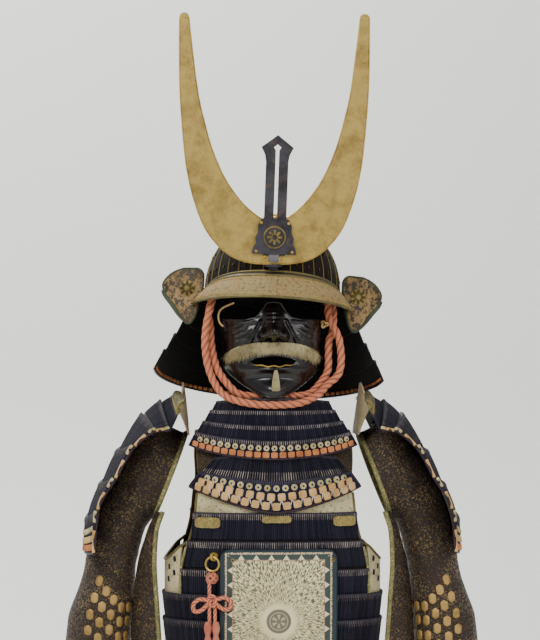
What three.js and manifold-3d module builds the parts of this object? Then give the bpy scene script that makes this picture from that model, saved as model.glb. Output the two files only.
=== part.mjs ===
// Japanese armour of laced lames: helmet with crescent crest, half mask with throat guard, gorget,
// wrap-round cuirass with seven skirt panels, shoulder guards and mail-faced sleeves.
// Millimetres, +Z up, the front faces -Y and the wearer's left is +X.
// The origin lies midway between the shoulder straps, at the height where they rest on the wearer.
import * as THREE from "three";
import Module from "manifold-3d";
import { mergeVertices } from "three/addons/utils/BufferGeometryUtils.js";

const wasm = await Module();
wasm.setup();

const DEG = Math.PI / 180;
const GAP = 0.4; // clearance between pieces that touch
const LAME = 2.5; // thickness of a lacquered and laced lame
const STEP = LAME + 1.4; // how far a lame's top edge stands off the lame above it

const HELMET = { place: [0, -15, 224], pitch: 13 * DEG, roll: 3 * DEG };
const BOWL = { halfWidth: 110, halfLength: 122, height: 121, wall: 2.5, hole: 83 * DEG, spokes: 32 };
const VISOR = { span: 84, halfWidth: 131, halfLength: 139, drop: 41, endDrop: 30, rise: 6, endTop: -21 };
const NECK = { count: 5, from: 92, halfWidth: 187, halfLength: 196, top: 2, bottom: -137 };
const CREST = { place: [-7, -137, 13], lean: 13 * DEG, turn: -2.7 * DEG, thick: 2, frontPlate: 3, tilt: 1.8 * DEG };
const ROPE = { radius: 6, sides: 8 };
const MASK = { x: -3, y: -30, span: 78, wall: 2.5 };
const THROAT = { count: 4, top: 51.4, bottom: -46, endRise: 22, span: 55 };
const GORGET = { top: -30, bottom: -133, endRise: 41, topHalf: 92, bottomHalf: 131, standOff: 7.9 };
const TORSO_POWER = 0.87;
const CHEST = { top: -100, plateBottom: -139, lames: 3, lameTop: -133, lameBottom: -271 };
const WAIST = { top: -269, pitch: 42.5, lames: 4, slit: 137, slitGap: 1 };
const BACK = { neckTop: 20, sideTop: -72, plateBottom: -95, lames: 4 };
const SIDE = { front: 58.5, back: 121.5, bottom: -267, armhole: -214, peak: -186 };
const SKIRT = { panels: 7, lames: 5, laceTop: -430, waist: -440, top: -488, bottom: -738, gap: 1.2 };
const STRAP = {
  inner: 71,
  outer: 129,
  widening: 7.4, // on top of the shoulder
  thick: 3.5,
  standOff: 3.6,
  foot: -70,
  frontEnd: -127,
  backEnd: -84,
  crown: 6, // height of the inner edge on top of the shoulder
  slope: 12, // how much lower the outer edge is there
  rows: { front: 2, back: 15, last: 16 },
};
const FLANGE = { bottom: -10, height: 84, halfLength: 58, thick: 3, x: 137, lean: 8, round: 0.86 };
const GUARD = { halfLength: 112, lames: 5, pitch: 60 };
const PANEL = { x: 4, halfWidth: 88.5, top: -193, bottom: -424, thick: 3, standOff: 8.1, corner: 15 };
const RING = { x: -96.8, z: -204, standOff: 5, radius: 11.5, wire: 2, eye: 7.6 };
const TASSEL = { ball: 8.5, cord: 3.4, top: -308, join: -316, bottom: -412, upper: 5.5, lower: 9, apart: 6 };
const CUFF = { row: 8.85, length: 100, lift: 0.8, bulge: 3, tilt: 6, sweep: 14, topTurn: 150, endTurn: 110 };
const FLAP = { top: -135, bottom: -372, thick: 2.5, bow: 6, setBack: 1.6 };

const COLOURS = {
  navy: [0x23233a, 0.8, 0.0],
  lacquer: [0x14100f, 0.15, 0.2],
  gilt: [0xb8964a, 0.4, 0.9],
  leather: [0xcfc39a, 0.7, 0.0],
  brocade: [0x5d5034, 0.8, 0.1],
  rope: [0xc27a58, 0.9, 0.0],
  tassel: [0xd98f7c, 0.9, 0.0],
  mail: [0x3a2f25, 0.6, 0.4],
  hair: [0xb9a97c, 0.9, 0.0],
  darkMetal: [0x3d3430, 0.45, 0.8],
};

const root = new THREE.Group();
const helmet = new THREE.Group();
helmet.position.set(...HELMET.place);
helmet.rotation.set(-HELMET.pitch, HELMET.roll, 0, "YXZ");
const crest = new THREE.Group();
crest.position.set(...CREST.place);
crest.rotation.set(CREST.lean, CREST.turn, 0);
helmet.add(crest);
root.add(helmet);

function add(group, name, geometry, finish) {
  const [color, roughness, metalness] = COLOURS[finish];
  const mesh = new THREE.Mesh(geometry, new THREE.MeshStandardMaterial({ color, roughness, metalness }));
  mesh.name = name;
  group.add(mesh);
  return mesh;
}

function mix(a, b, t) {
  return a + (b - a) * t;
}

// The value of a column at a place along a table whose rows are sorted by the key.
function tableAt(rows, key, place, column) {
  let i = 1;
  while (i < rows.length - 1 && rows[i][key] < place) i++;
  const [a, b] = [rows[i - 1], rows[i]];
  const t = Math.min(1, Math.max(0, (place - a[key]) / (b[key] - a[key])));
  return mix(a[column], b[column], t);
}

function signedPower(value, power) {
  return Math.sign(value) * Math.abs(value) ** power;
}

function bump(x, width) {
  return Math.exp(-((x / width) ** 2));
}

function signedVolume(points, faces) {
  let sum = 0;
  for (const [a, b, c] of faces) sum += points[a].dot(points[b].clone().cross(points[c]));
  return sum / 6;
}

function fromFaces(points, faces) {
  const turned = signedVolume(points, faces) < 0 ? faces.map(([a, b, c]) => [a, c, b]) : faces;
  const geometry = new THREE.BufferGeometry();
  geometry.setAttribute("position", new THREE.Float32BufferAttribute(points.flatMap((p) => p.toArray()), 3));
  geometry.setIndex(turned.flat());
  return geometry;
}

// A closed wall between two faces of a surface: point(s, t, face) is on the outer face at 0, the inner at 1.
function wall(point, across, down, ring = false) {
  const columns = ring ? across : across + 1;
  const points = [];
  for (const face of [0, 1])
    for (let j = 0; j <= down; j++)
      for (let i = 0; i < columns; i++) points.push(point(i / across, j / down, face));
  const at = (face, i, j) => face * columns * (down + 1) + j * columns + (i % columns);
  const faces = [];
  const quad = (a, b, c, d) => faces.push([a, b, c], [a, c, d]);
  for (let j = 0; j < down; j++)
    for (let i = 0; i < across; i++) {
      quad(at(0, i, j), at(0, i + 1, j), at(0, i + 1, j + 1), at(0, i, j + 1));
      quad(at(1, i, j), at(1, i, j + 1), at(1, i + 1, j + 1), at(1, i + 1, j));
    }
  for (let i = 0; i < across; i++) {
    quad(at(0, i, 0), at(1, i, 0), at(1, i + 1, 0), at(0, i + 1, 0));
    quad(at(0, i, down), at(0, i + 1, down), at(1, i + 1, down), at(1, i, down));
  }
  if (!ring)
    for (let j = 0; j < down; j++) {
      quad(at(0, 0, j), at(0, 0, j + 1), at(1, 0, j + 1), at(1, 0, j));
      quad(at(0, across, j), at(1, across, j), at(1, across, j + 1), at(0, across, j + 1));
    }
  return fromFaces(points, faces);
}

// A lame on a surface, where surface(s, t, off) is the surface moved out by off. Its top edge stands out.
function lame(surface, from, to, across, down, standOff = STEP, ring = false) {
  const off = (t, face) => mix(standOff, 0, t) + (face ? 0 : LAME);
  return wall((s, t, face) => surface(s, mix(from, to, t), off(t, face)), across, down, ring);
}

// Several lames of one panel as one wall, stepped where each lame laps the one above. lace holds the rows of
// a flat lead-in.
function steppedWall(surface, edges, across, lace = []) {
  const rows = [...lace];
  for (let k = 0; k + 1 < edges.length; k++)
    rows.push({ at: edges[k], off: STEP }, { at: edges[k + 1], off: 0 });
  const last = rows.length - 1;
  // a step needs two rows at slightly different heights, so the second starts a little lower
  const along = rows.map((row, i) => (i > 0 && row.at === rows[i - 1].at ? row.at - 1.5 : row.at));
  return wall(
    (s, t, face) => {
      const i = Math.round(t * last);
      return surface(s, along[i], rows[i].off + (face ? 0 : LAME));
    },
    across,
    last,
  );
}

function tube(points, radius, sides, steps) {
  const path = new THREE.CatmullRomCurve3(points.map((p) => new THREE.Vector3(...p)));
  const corners = [];
  for (let i = 0; i < sides; i++) {
    const turn = (2 * Math.PI * i) / sides;
    corners.push(new THREE.Vector2(radius * Math.cos(turn), radius * Math.sin(turn)));
  }
  return new THREE.ExtrudeGeometry(new THREE.Shape(corners), { extrudePath: path, steps });
}

// A flat plate from an outline in its own X and Z, with its front face towards -Y.
function plate(outline, thick, holes = []) {
  const shape = new THREE.Shape(outline);
  for (const hole of holes) shape.holes.push(new THREE.Path(hole));
  const geometry = new THREE.ExtrudeGeometry(shape, { depth: thick, bevelEnabled: false });
  return geometry.rotateX(Math.PI / 2).translate(0, thick / 2, 0);
}

// A closed outline from its right half. pointed outlines end in one point on the middle line.
function mirrored(half, pointed = false) {
  const left = (pointed ? half.slice(0, -1) : half).map(([x, z]) => [-x, z]).reverse();
  return [...half, ...left].map((p) => new THREE.Vector2(...p));
}

function smooth(points, divisions) {
  const curve = new THREE.SplineCurve(points.map((p) => new THREE.Vector2(...p)));
  return curve.getPoints(divisions).map((p) => [p.x, p.y]);
}

function toSolid(geometry) {
  const bare = new THREE.BufferGeometry().setAttribute("position", geometry.getAttribute("position"));
  if (geometry.index) bare.setIndex(geometry.index);
  const merged = mergeVertices(bare, 1e-4);
  const vertProperties = new Float32Array(merged.attributes.position.array);
  return new wasm.Manifold(
    new wasm.Mesh({ numProp: 3, vertProperties, triVerts: new Uint32Array(merged.index.array) }),
  );
}

function toGeometry(solid) {
  const mesh = solid.getMesh();
  const geometry = new THREE.BufferGeometry();
  geometry.setAttribute("position", new THREE.Float32BufferAttribute(mesh.vertProperties, 3));
  geometry.setIndex([...mesh.triVerts]);
  return geometry;
}

// Helmet bowl: an ellipsoid of plates with a hole at the crown.
function bowlPoint(turn, climb, off) {
  return new THREE.Vector3(
    (BOWL.halfWidth + off) * Math.cos(climb) * Math.sin(turn),
    -(BOWL.halfLength + off) * Math.cos(climb) * Math.cos(turn),
    (BOWL.height + off) * Math.sin(climb),
  );
}
const bowlShell = (s, t, face) => bowlPoint(s * 2 * Math.PI, t * BOWL.hole, face ? -BOWL.wall : 0);
add(helmet, "helmet_bowl", wall(bowlShell, BOWL.spokes, 5, true), "lacquer");

// Crown ornament: a stepped grommet round the hole.
const FINIAL_PROFILE = [[13, 0], [26, -3.5], [25, 1], [19, 2.5], [18, 6], [13, 8], [13, 0]];
const finial = new THREE.LatheGeometry(
  FINIAL_PROFILE.map((p) => new THREE.Vector2(...p)),
  16,
);
add(helmet, "crown_ornament", finial.rotateX(Math.PI / 2).translate(0, 0, BOWL.height + 0.5), "gilt");

// Visor: a flared band on the front half of the rim, narrower at its ends.
function visorPoint(s, t, off) {
  const turn = s * VISOR.span * DEG;
  const top = VISOR.rise + (VISOR.endTop - VISOR.rise) * Math.abs(s) ** 5;
  const bottom = -VISOR.drop + (VISOR.drop - VISOR.endDrop) * s * s;
  const flare = Math.sin((t * Math.PI) / 2) ** 1.1;
  const z = mix(top, bottom, t);
  const x = mix(BOWL.halfWidth + 0.9, VISOR.halfWidth, flare) + off;
  const y = mix(BOWL.halfLength + 0.9, VISOR.halfLength, flare) + off;
  return new THREE.Vector3(x * Math.sin(turn), -y * Math.cos(turn), z);
}
add(
  helmet,
  "helmet_visor",
  wall((s, t, face) => visorPoint(2 * s - 1, t, face ? 0 : LAME), 16, 3),
  "leather",
);

// Neck guard: lames flaring from the rim round the back.
function neckPoint(s, t, off) {
  const turn = mix(NECK.from, 360 - NECK.from, s) * DEG;
  const x = mix(BOWL.halfWidth + 0.9, NECK.halfWidth, t ** 1.1) + off;
  const y = mix(BOWL.halfLength + 0.9, NECK.halfLength, t ** 1.1) + off;
  return new THREE.Vector3(x * Math.sin(turn), -y * Math.cos(turn), mix(NECK.top, NECK.bottom, t));
}
for (let k = 0; k < NECK.count; k++) {
  const from = k === 0 ? 0 : (k - 0.2) / NECK.count;
  const standOff = k === 0 ? 0 : STEP;
  add(helmet, `neck_lame_${k + 1}`, lame(neckPoint, from, (k + 1) / NECK.count, 16, 1, standOff), "navy");
}

// Turn-backs: leather-faced wings at the ends of the neck guard.
const TURNBACK = [
  { z: -62, inner: 133, outer: 139 },
  { z: -52, inner: 127, outer: 148 },
  { z: -30, inner: 121, outer: 162 },
  { z: -8, inner: 117, outer: 177 },
  { z: 4, inner: 115, outer: 180 },
  { z: 18, inner: 115, outer: 172 },
  { z: 26, inner: 118, outer: 160 },
  { z: 30, inner: 124, outer: 148 },
];
function turnbackPoint(side, s, t, off) {
  const z = mix(TURNBACK[0].z, TURNBACK[TURNBACK.length - 1].z, t);
  const x = mix(tableAt(TURNBACK, "z", z, "inner"), tableAt(TURNBACK, "z", z, "outer"), s);
  const curl = ((x - 110) / 70) ** 2;
  return new THREE.Vector3(side * x, -13.3 + 20 * curl + off, z);
}
for (const [name, side] of [["left", 1], ["right", -1]])
  add(
    helmet,
    `turnback_${name}`,
    wall((s, t, face) => turnbackPoint(side, s, t, face ? 3 : 0), 5, 8),
    "leather",
  );

// Crest: crescent, pronged blade and base plate in front of it.
const CRESCENT_OUTER = [
  [154, 396], [154, 335], [152.5, 270], [146, 190], [140, 146], [130, 104], [112, 58], [88, 27], [62, 9],
  [34, 1.5], [0, 0],
];
const CRESCENT_INNER = [
  [0, 66], [20, 74], [49, 98], [78, 138], [99, 186], [111, 228], [121, 270], [130, 335], [137, 396],
];
function crescentOutline() {
  const outer = smooth(CRESCENT_OUTER, 22);
  const inner = smooth(CRESCENT_INNER, 20);
  const [outerX, tipZ] = CRESCENT_OUTER[0];
  const innerX = CRESCENT_INNER[CRESCENT_INNER.length - 1][0];
  const radius = (outerX - innerX) / 2;
  const tip = [];
  for (let i = 1; i < 5; i++) {
    const turn = (Math.PI * i) / 5;
    tip.push([(outerX + innerX) / 2 - radius * Math.cos(turn), tipZ + radius * Math.sin(turn)]);
  }
  const right = [...inner.slice(1), ...tip, ...outer.slice(0, -1)];
  const left = right.map(([x, z]) => [-x, z]).reverse();
  return [inner[0], ...right, outer[outer.length - 1], ...left].map((p) => new THREE.Vector2(...p));
}
add(crest, "crest_moon", plate(crescentOutline(), CREST.thick), "gilt");

const PRONG_HALF = [[18, 14], [18, 165], [20, 176], [26, 188], [0, 208]];
const SLOT_HALF = [[2.8, 72], [2.8, 183], [6, 188], [0, 193]];
const prong = plate(mirrored(PRONG_HALF, true), CREST.frontPlate, [mirrored(SLOT_HALF, true)]);
const prongY = -CREST.thick / 2 - GAP - CREST.frontPlate / 2;
add(crest, "crest_prong", prong.translate(0, prongY, 0).rotateY(CREST.tilt), "darkMetal");

const BASE_HALF = [[36, 16], [34, 26], [30, 32], [31, 42], [27, 50], [27, 62], [22, 72]];
const basePlate = plate(mirrored(BASE_HALF), CREST.frontPlate);
basePlate.translate(0, prongY - GAP - CREST.frontPlate, 0).rotateY(CREST.tilt);
add(crest, "crest_plate", basePlate, "darkMetal");

// Socket: a tongue behind the crescent on a foot that is riveted to the bowl, with a stop under the crest.
function box(size, centre) {
  return toSolid(new THREE.BoxGeometry(...size).translate(...centre));
}
crest.updateMatrix();
const clearBowl = new THREE.SphereGeometry(1, 48, 32)
  .scale(BOWL.halfWidth - GAP, BOWL.halfLength - GAP, BOWL.height - GAP)
  .applyMatrix4(crest.matrix.clone().invert());
const tongue = box([14, 3, 78], [0, CREST.thick / 2 + GAP + 1.5, 30]);
const foot = box([30, 24, 10], [0, CREST.thick / 2 + GAP + 12, 2]);
const stop = box([24, 9, 4], [0, -0.5, -GAP - 2.1]);
add(crest, "crest_socket", toGeometry(tongue.add(foot).add(stop).subtract(toSolid(clearBowl))), "darkMetal");

// Half mask. A point is given by its place across (-1 to 1) and its height; relief stands out from the face.
const FACE = [
  { z: 52, half: 50, depth: 95 },
  { z: 63, half: 58, depth: 94 },
  { z: 79, half: 70, depth: 91 },
  { z: 105, half: 82, depth: 88 },
  { z: 140, half: 86, depth: 87 },
  { z: 178, half: 88, depth: 86 },
  { z: 207, half: 86, depth: 84 },
];
const FACE_EDGE = [
  { s: 0, top: 207, bottom: 52 },
  { s: 0.08, top: 206, bottom: 52.5 },
  { s: 0.16, top: 194, bottom: 54 },
  { s: 0.25, top: 182, bottom: 56 },
  { s: 0.45, top: 178, bottom: 64 },
  { s: 0.7, top: 178, bottom: 81 },
  { s: 1, top: 176, bottom: 104 },
];
const NOSE = { rise: 27, tip: 156, top: 207, rootShare: 0.3, under: 16, tipWide: 15, rootWide: 11 };
const NOSE_NARROWS = { from: 150, to: 200 };
// Soft swellings of the face: nostril wings, cheeks, upper lip, lower lip, chin and the hollow above it.
const SWELLINGS = [
  { x: -19, z: 153, wide: 9, high: 11, rise: 10 },
  { x: 19, z: 153, wide: 9, high: 11, rise: 10 },
  { x: -46, z: 158, wide: 24, high: 22, rise: 7 },
  { x: 46, z: 158, wide: 24, high: 22, rise: 7 },
  { x: 0, z: 128, wide: 42, high: 10, rise: 6 },
  { x: 0, z: 97, wide: 42, high: 8, rise: 6 },
  { x: 0, z: 66, wide: 24, high: 15, rise: 8 },
  { x: 0, z: 83, wide: 50, high: 8, rise: -5 },
];
function faceRelief(x, z) {
  const above = mix(1, NOSE.rootShare, (z - NOSE.tip) / (NOSE.top - NOSE.tip));
  const bridge = z > NOSE.tip ? above : Math.max(0, 1 - (NOSE.tip - z) / NOSE.under);
  const { from, to } = NOSE_NARROWS;
  const narrowing = THREE.MathUtils.clamp((z - from) / (to - from), 0, 1);
  let rise = NOSE.rise * bump(x, mix(NOSE.tipWide, NOSE.rootWide, narrowing)) * bridge;
  for (const at of SWELLINGS) rise += at.rise * bump(x - at.x, at.wide) * bump(z - at.z, at.high);
  return rise;
}
function facePoint(s, z, off) {
  const turn = s * MASK.span * DEG;
  const half = tableAt(FACE, "z", z, "half") + off;
  const depth = tableAt(FACE, "z", z, "depth") + off;
  const x = half * Math.sin(turn);
  const y = -depth * Math.cos(turn) ** 0.9 - faceRelief(x, z) * Math.min(1, 1.4 * Math.cos(turn));
  return new THREE.Vector3(MASK.x + x, MASK.y + y, z);
}
function edgeAt(s, column) {
  return tableAt(FACE_EDGE, "s", Math.abs(s), column);
}
function maskPoint(s, t, inside) {
  const across = 2 * s - 1;
  const z = mix(edgeAt(across, "top"), edgeAt(across, "bottom"), t);
  return facePoint(across, z, inside ? -MASK.wall : 0);
}
const mouth = toSolid(new THREE.SphereGeometry(1, 16, 8).scale(38, 40, 7.5).translate(MASK.x, -138, 111));
add(root, "mask", toGeometry(toSolid(wall(maskPoint, 20, 12)).subtract(mouth)), "lacquer");

function moustachePoint(s, t, off) {
  const across = 2 * s - 1;
  const top = 137 - 26 * Math.abs(across) ** 2.2;
  const bottom = 122 - 18 * Math.abs(across) ** 2.2;
  return facePoint(across * 0.86, mix(top, bottom, t), off);
}
add(root, "moustache", wall((s, t, face) => moustachePoint(s, t, face ? 3.8 : 9), 16, 3), "hair");
function tuftPoint(s, t, off) {
  const across = 0.05 + (s - 0.5) * mix(0.1, 0.15, t);
  return facePoint(across, mix(95, 66, t), off);
}
add(root, "chin_tuft", wall((s, t, face) => tuftPoint(s, t, face ? 3 : 7.5), 3, 2), "hair");

// Throat guard: four laced lames under the mask.
function throatPoint(s, t, off) {
  const across = 2 * s - 1;
  const turn = across * THROAT.span * DEG;
  const x = (mix(105, 165, t) + off) * Math.sin(turn);
  const y = -(mix(89.5, 115.9, t) + off) * Math.cos(turn);
  const rise = mix(-5, THROAT.endRise, t) * Math.abs(across) ** 1.8;
  return new THREE.Vector3(MASK.x + x, MASK.y + y, mix(THROAT.top, THROAT.bottom, t) + rise);
}
for (let k = 0; k < THROAT.count; k++) {
  const from = k === 0 ? 0 : (k - 0.2) / THROAT.count;
  add(root, `throat_lame_${k + 1}`, lame(throatPoint, from, (k + 1) / THROAT.count, 14, 1), "navy");
}

// Chin cord: two strands from the helmet rim, one under the chin and one behind it.
const OUTER_STRAND = [
  [-97, -61, 232], [-102, -74, 206], [-110, -82, 174], [-113, -82, 145], [-111, -80, 118], [-105, -82, 93],
  [-95, -91, 71], [-81, -108, 55], [-58, -124.5, 46.5], [-28, -131.6, 41.5], [5, -133.8, 41],
  [39, -128.6, 44], [68, -112, 56], [86, -92, 73], [104, -82, 89], [109, -80, 112], [107, -80, 139],
  [103, -80, 154], [94, -78, 172], [88, -72, 190], [92, -60, 232],
];
const INNER_STRAND = [
  [-97, -40, 226], [-106, -60, 192], [-104, -68, 169], [-102.5, -69, 141], [-98.6, -70, 118], [-92, -76, 97],
  [-79, -90, 77], [-62, -100, 60], [-42, -103, 55], [-22, -108, 57], [-3, -121, 60], [17, -108, 57],
  [38, -102, 55], [59, -94, 60], [78, -80, 79], [88, -72, 97], [89, -68, 123], [90, -66, 143], [96, -62, 160],
  [98, -52, 190], [93, -38, 226],
];
add(root, "chin_cord_outer", tube(OUTER_STRAND, ROPE.radius, ROPE.sides, 28), "rope");
add(root, "chin_cord_inner", tube(INNER_STRAND, ROPE.radius, ROPE.sides, 28), "rope");

// Torso: every piece of the cuirass and skirt lies on this form. turn is 0 in front, 180 degrees at the back.
const TORSO = [
  { z: -740, half: 236, depth: 182, mid: -6 },
  { z: -490, half: 174, depth: 127, mid: -6 },
  { z: -440, half: 160, depth: 114, mid: -6 },
  { z: -350, half: 173, depth: 122, mid: -8 },
  { z: -230, half: 175, depth: 130, mid: -10 },
  { z: -133, half: 163, depth: 126, mid: -12 },
  { z: -100, half: 160, depth: 124, mid: -12 },
  { z: -60, half: 152, depth: 116, mid: -11 },
  { z: 0, half: 135, depth: 100, mid: -8 },
];
function torsoPoint(turn, z, off) {
  const x = (tableAt(TORSO, "z", z, "half") + off) * signedPower(Math.sin(turn), TORSO_POWER);
  const y = -(tableAt(TORSO, "z", z, "depth") + off) * signedPower(Math.cos(turn), TORSO_POWER);
  return new THREE.Vector3(x, y + tableAt(TORSO, "z", z, "mid"), z);
}
// The turn at which the form is x wide on its front half.
function torsoTurn(x, z) {
  const share = THREE.MathUtils.clamp(x / tableAt(TORSO, "z", z, "half"), -1, 1);
  return Math.asin(signedPower(share, 1 / TORSO_POWER));
}

// Gorget: two lames over the upper chest, outside the shoulder straps.
function gorgetPoint(s, t, off) {
  const across = 2 * s - 1;
  const x = across * mix(GORGET.topHalf, GORGET.bottomHalf, t);
  const end = Math.abs(across) ** 1.5;
  const z = mix(GORGET.top - 14 * end, GORGET.bottom + GORGET.endRise * end, t);
  const place = torsoPoint(torsoTurn(x, Math.min(z, -75)), Math.min(z, -75), GORGET.standOff + off);
  return place.setZ(z);
}
add(root, "gorget_upper", lame(gorgetPoint, 0, 0.56, 14, 2, 0), "navy");
add(root, "gorget_lower", lame(gorgetPoint, 0.5, 1, 14, 2), "navy");

// Front of the cuirass, whose sides widen downwards along the armholes.
const FRONT_SPAN = [
  { z: -272, span: 57 },
  { z: -230, span: 56 },
  { z: -190, span: 52.5 },
  { z: -150, span: 49.5 },
  { z: -100, span: 48.5 },
];
function frontPoint(s, z, off) {
  return torsoPoint((2 * s - 1) * tableAt(FRONT_SPAN, "z", z, "span") * DEG, z, off);
}
function chestPoint(s, t, off) {
  const top = CHEST.top - 12 * (1 - (2 * s - 1) ** 2);
  return frontPoint(s, mix(top, CHEST.plateBottom, t), off);
}
add(root, "chest_plate", wall((s, t, face) => chestPoint(s, t, face ? 0 : LAME), 14, 2), "leather");
function spread(from, to, count) {
  return Array.from({ length: count + 1 }, (_, k) => mix(from, to, k / count));
}
add(
  root,
  "front_lames",
  steppedWall(frontPoint, spread(CHEST.lameTop, CHEST.lameBottom, CHEST.lames), 14),
  "navy",
);

// Under-arm plates close the sides below the armholes.
function sidePoint(side, s, t, off) {
  const turn = mix(SIDE.front, SIDE.back, s) * DEG;
  const hollow = 1 - Math.abs(2 * s - 1) ** 2.2;
  const z = mix(mix(SIDE.peak, SIDE.armhole, hollow), SIDE.bottom, t);
  return torsoPoint(side * turn, z, off);
}
for (const [name, side] of [["left", 1], ["right", -1]]) {
  const sidePlate = wall((s, t, face) => sidePoint(side, s, t, face ? 0 : LAME), 10, 2);
  add(root, `side_plate_${name}`, sidePlate, "leather");
}

// Waist lames go right round and open at the wearer's right rear.
function waistPoint(s, z, off) {
  const halfGap = WAIST.slitGap / 2;
  const turn = mix(halfGap, 360 - halfGap, s) - WAIST.slit;
  return torsoPoint(turn * DEG, z, off);
}
for (let k = 0; k < WAIST.lames; k++) {
  const top = WAIST.top + 3 - k * WAIST.pitch;
  const standOff = k === 0 ? STEP + 0.2 : STEP - 0.2;
  add(root, `waist_lame_${k + 1}`, lame(waistPoint, top, top - WAIST.pitch - 4, 36, 1, standOff), "navy");
}

function backPoint(s, z, off) {
  return torsoPoint(Math.PI + (2 * s - 1) * tableAt(FRONT_SPAN, "z", z, "span") * DEG, z, off);
}
function backPlatePoint(s, t, off) {
  const across = Math.abs(2 * s - 1);
  const top = mix(BACK.neckTop, BACK.sideTop, THREE.MathUtils.smoothstep(across, 0.3, 0.52));
  return backPoint(s, mix(top, BACK.plateBottom, t), off);
}
add(root, "back_plate", wall((s, t, face) => backPlatePoint(s, t, face ? 0 : LAME), 14, 3), "navy");
add(
  root,
  "back_lames",
  steppedWall(backPoint, spread(BACK.plateBottom + 6, CHEST.lameBottom, BACK.lames), 14),
  "navy",
);

// Shoulder straps run from the back plate over the shoulder to the corners of the chest plate.
function strapPoint(side, s, row, off) {
  const { front: frontRows, back: backRow, last } = STRAP.rows;
  const turn = THREE.MathUtils.clamp((row - frontRows) / (backRow - frontRows), 0, 1) * Math.PI;
  const x = mix(STRAP.inner, STRAP.outer + STRAP.widening * Math.sin(turn), s);
  const reach = STRAP.standOff + off;
  const onTorso = (z, back) => {
    const turn = torsoTurn(x, z);
    return torsoPoint(back ? Math.PI - turn : turn, z, reach);
  };
  let place;
  const belowBack = (row - backRow) / (last - backRow);
  if (row <= frontRows) place = onTorso(mix(STRAP.frontEnd, STRAP.foot, row / frontRows), false);
  else if (row >= backRow) place = onTorso(mix(STRAP.foot, STRAP.backEnd, belowBack), true);
  else {
    const front = onTorso(STRAP.foot, false);
    const back = onTorso(STRAP.foot, true);
    const top = STRAP.crown - STRAP.slope * s + off - STRAP.foot;
    place = front.clone().lerp(back, (1 - Math.cos(turn)) / 2);
    place.z = STRAP.foot + top * Math.sin(turn);
    place.x = mix(x, place.x, Math.abs(Math.cos(turn)) ** 3);
  }
  place.x *= side;
  return place;
}
for (const [name, side] of [["left", 1], ["right", -1]])
  add(
    root,
    `shoulder_strap_${name}`,
    wall((s, t, face) => strapPoint(side, s, Math.round(t * STRAP.rows.last), face ? 0 : STRAP.thick), 3, 16),
    "brocade",
  );

// Standing flanges on the outer edges of the straps.
function flangePoint(side, s, t, off) {
  const y = FLANGE.halfLength * (2 * s - 1);
  const height = FLANGE.height * Math.sqrt(1 - (FLANGE.round * (2 * s - 1)) ** 2);
  const x = FLANGE.x + FLANGE.lean * t ** 1.5 + off;
  return new THREE.Vector3(side * x, y, FLANGE.bottom + height * t);
}
for (const [name, side] of [["left", 1], ["right", -1]])
  add(
    root,
    `standing_flange_${name}`,
    wall((s, t, face) => flangePoint(side, s, t, face ? 0 : FLANGE.thick), 12, 3),
    "brocade",
  );

// Front panel with rounded corners, over the laced lames.
function panelPoint(s, t, off) {
  const z = mix(PANEL.top, PANEL.bottom, t);
  const near = Math.min(PANEL.top - z, z - PANEL.bottom) / PANEL.corner;
  const cut = near < 1 ? PANEL.corner * (1 - Math.sqrt(1 - (1 - near) ** 2)) : 0;
  const x = PANEL.x + (PANEL.halfWidth - cut) * (2 * s - 1);
  return torsoPoint(torsoTurn(x, z), z, PANEL.standOff + off);
}
const PANEL_ROWS = [0, 0.008, 0.03, 0.065, 0.25, 0.45, 0.65, 0.8, 0.935, 0.97, 0.992, 1];
add(
  root,
  "front_panel",
  wall((s, t, face) => panelPoint(s, PANEL_ROWS[Math.round(t * 11)], face ? 0 : PANEL.thick), 10, 11),
  "leather",
);

// Chest ring on its boss, with a tied cord and two tassels.
const ringSeat = torsoPoint(torsoTurn(RING.x, RING.z), RING.z, RING.standOff);
const ringGroup = new THREE.Group();
ringGroup.position.copy(ringSeat);
const beside = torsoPoint(torsoTurn(RING.x + 2, RING.z), RING.z, RING.standOff);
ringGroup.rotation.z = Math.atan2(beside.y - ringSeat.y, beside.x - ringSeat.x);
root.add(ringGroup);
const boss = toSolid(new THREE.CylinderGeometry(6.5, 8, 3, 20).rotateX(Math.PI).translate(0, -1.5, 0));
const eye = box([3.2, 9, 9], [0, -7, 0]);
const eyeBore = new THREE.CylinderGeometry(2.7, 2.7, 10, 16).rotateZ(Math.PI / 2);
const eyeHole = toSolid(eyeBore.translate(0, -RING.eye, 0));
add(ringGroup, "ring_boss", toGeometry(boss.add(eye).subtract(eyeHole)), "gilt");
const ring = new THREE.TorusGeometry(RING.radius, RING.wire, 8, 20).rotateX(Math.PI / 2);
add(ringGroup, "chest_ring", ring.translate(0, -RING.eye, -RING.radius), "gilt");

const knotAt = ringSeat.clone().add(new THREE.Vector3(-4, -8.5, -2 * RING.radius - RING.wire - 9));
function ball(size, at) {
  return toSolid(new THREE.SphereGeometry(1, 12, 8).scale(...size).translate(...at));
}
function drop(x, top, bottom, upper, lower) {
  const length = top - bottom;
  const form = new THREE.CylinderGeometry(upper, lower, length, 12).rotateX(Math.PI / 2);
  return toSolid(form.translate(x, knotAt.y - 7, (top + bottom) / 2));
}
const tassel = ball([TASSEL.ball, TASSEL.ball, TASSEL.ball], knotAt.toArray())
  .add(drop(knotAt.x, knotAt.z, TASSEL.join, TASSEL.cord, TASSEL.cord))
  .add(ball([12, 5, 10], [knotAt.x - 13, knotAt.y - 9, knotAt.z - 23]))
  .add(ball([12, 5, 10], [knotAt.x + 13, knotAt.y - 9, knotAt.z - 23]))
  .add(drop(knotAt.x - TASSEL.apart, TASSEL.top, TASSEL.bottom, TASSEL.upper, TASSEL.lower))
  .add(drop(knotAt.x + TASSEL.apart, TASSEL.top, TASSEL.bottom, TASSEL.upper, TASSEL.lower));
add(root, "chest_tassel", toGeometry(tassel), "tassel");

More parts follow.
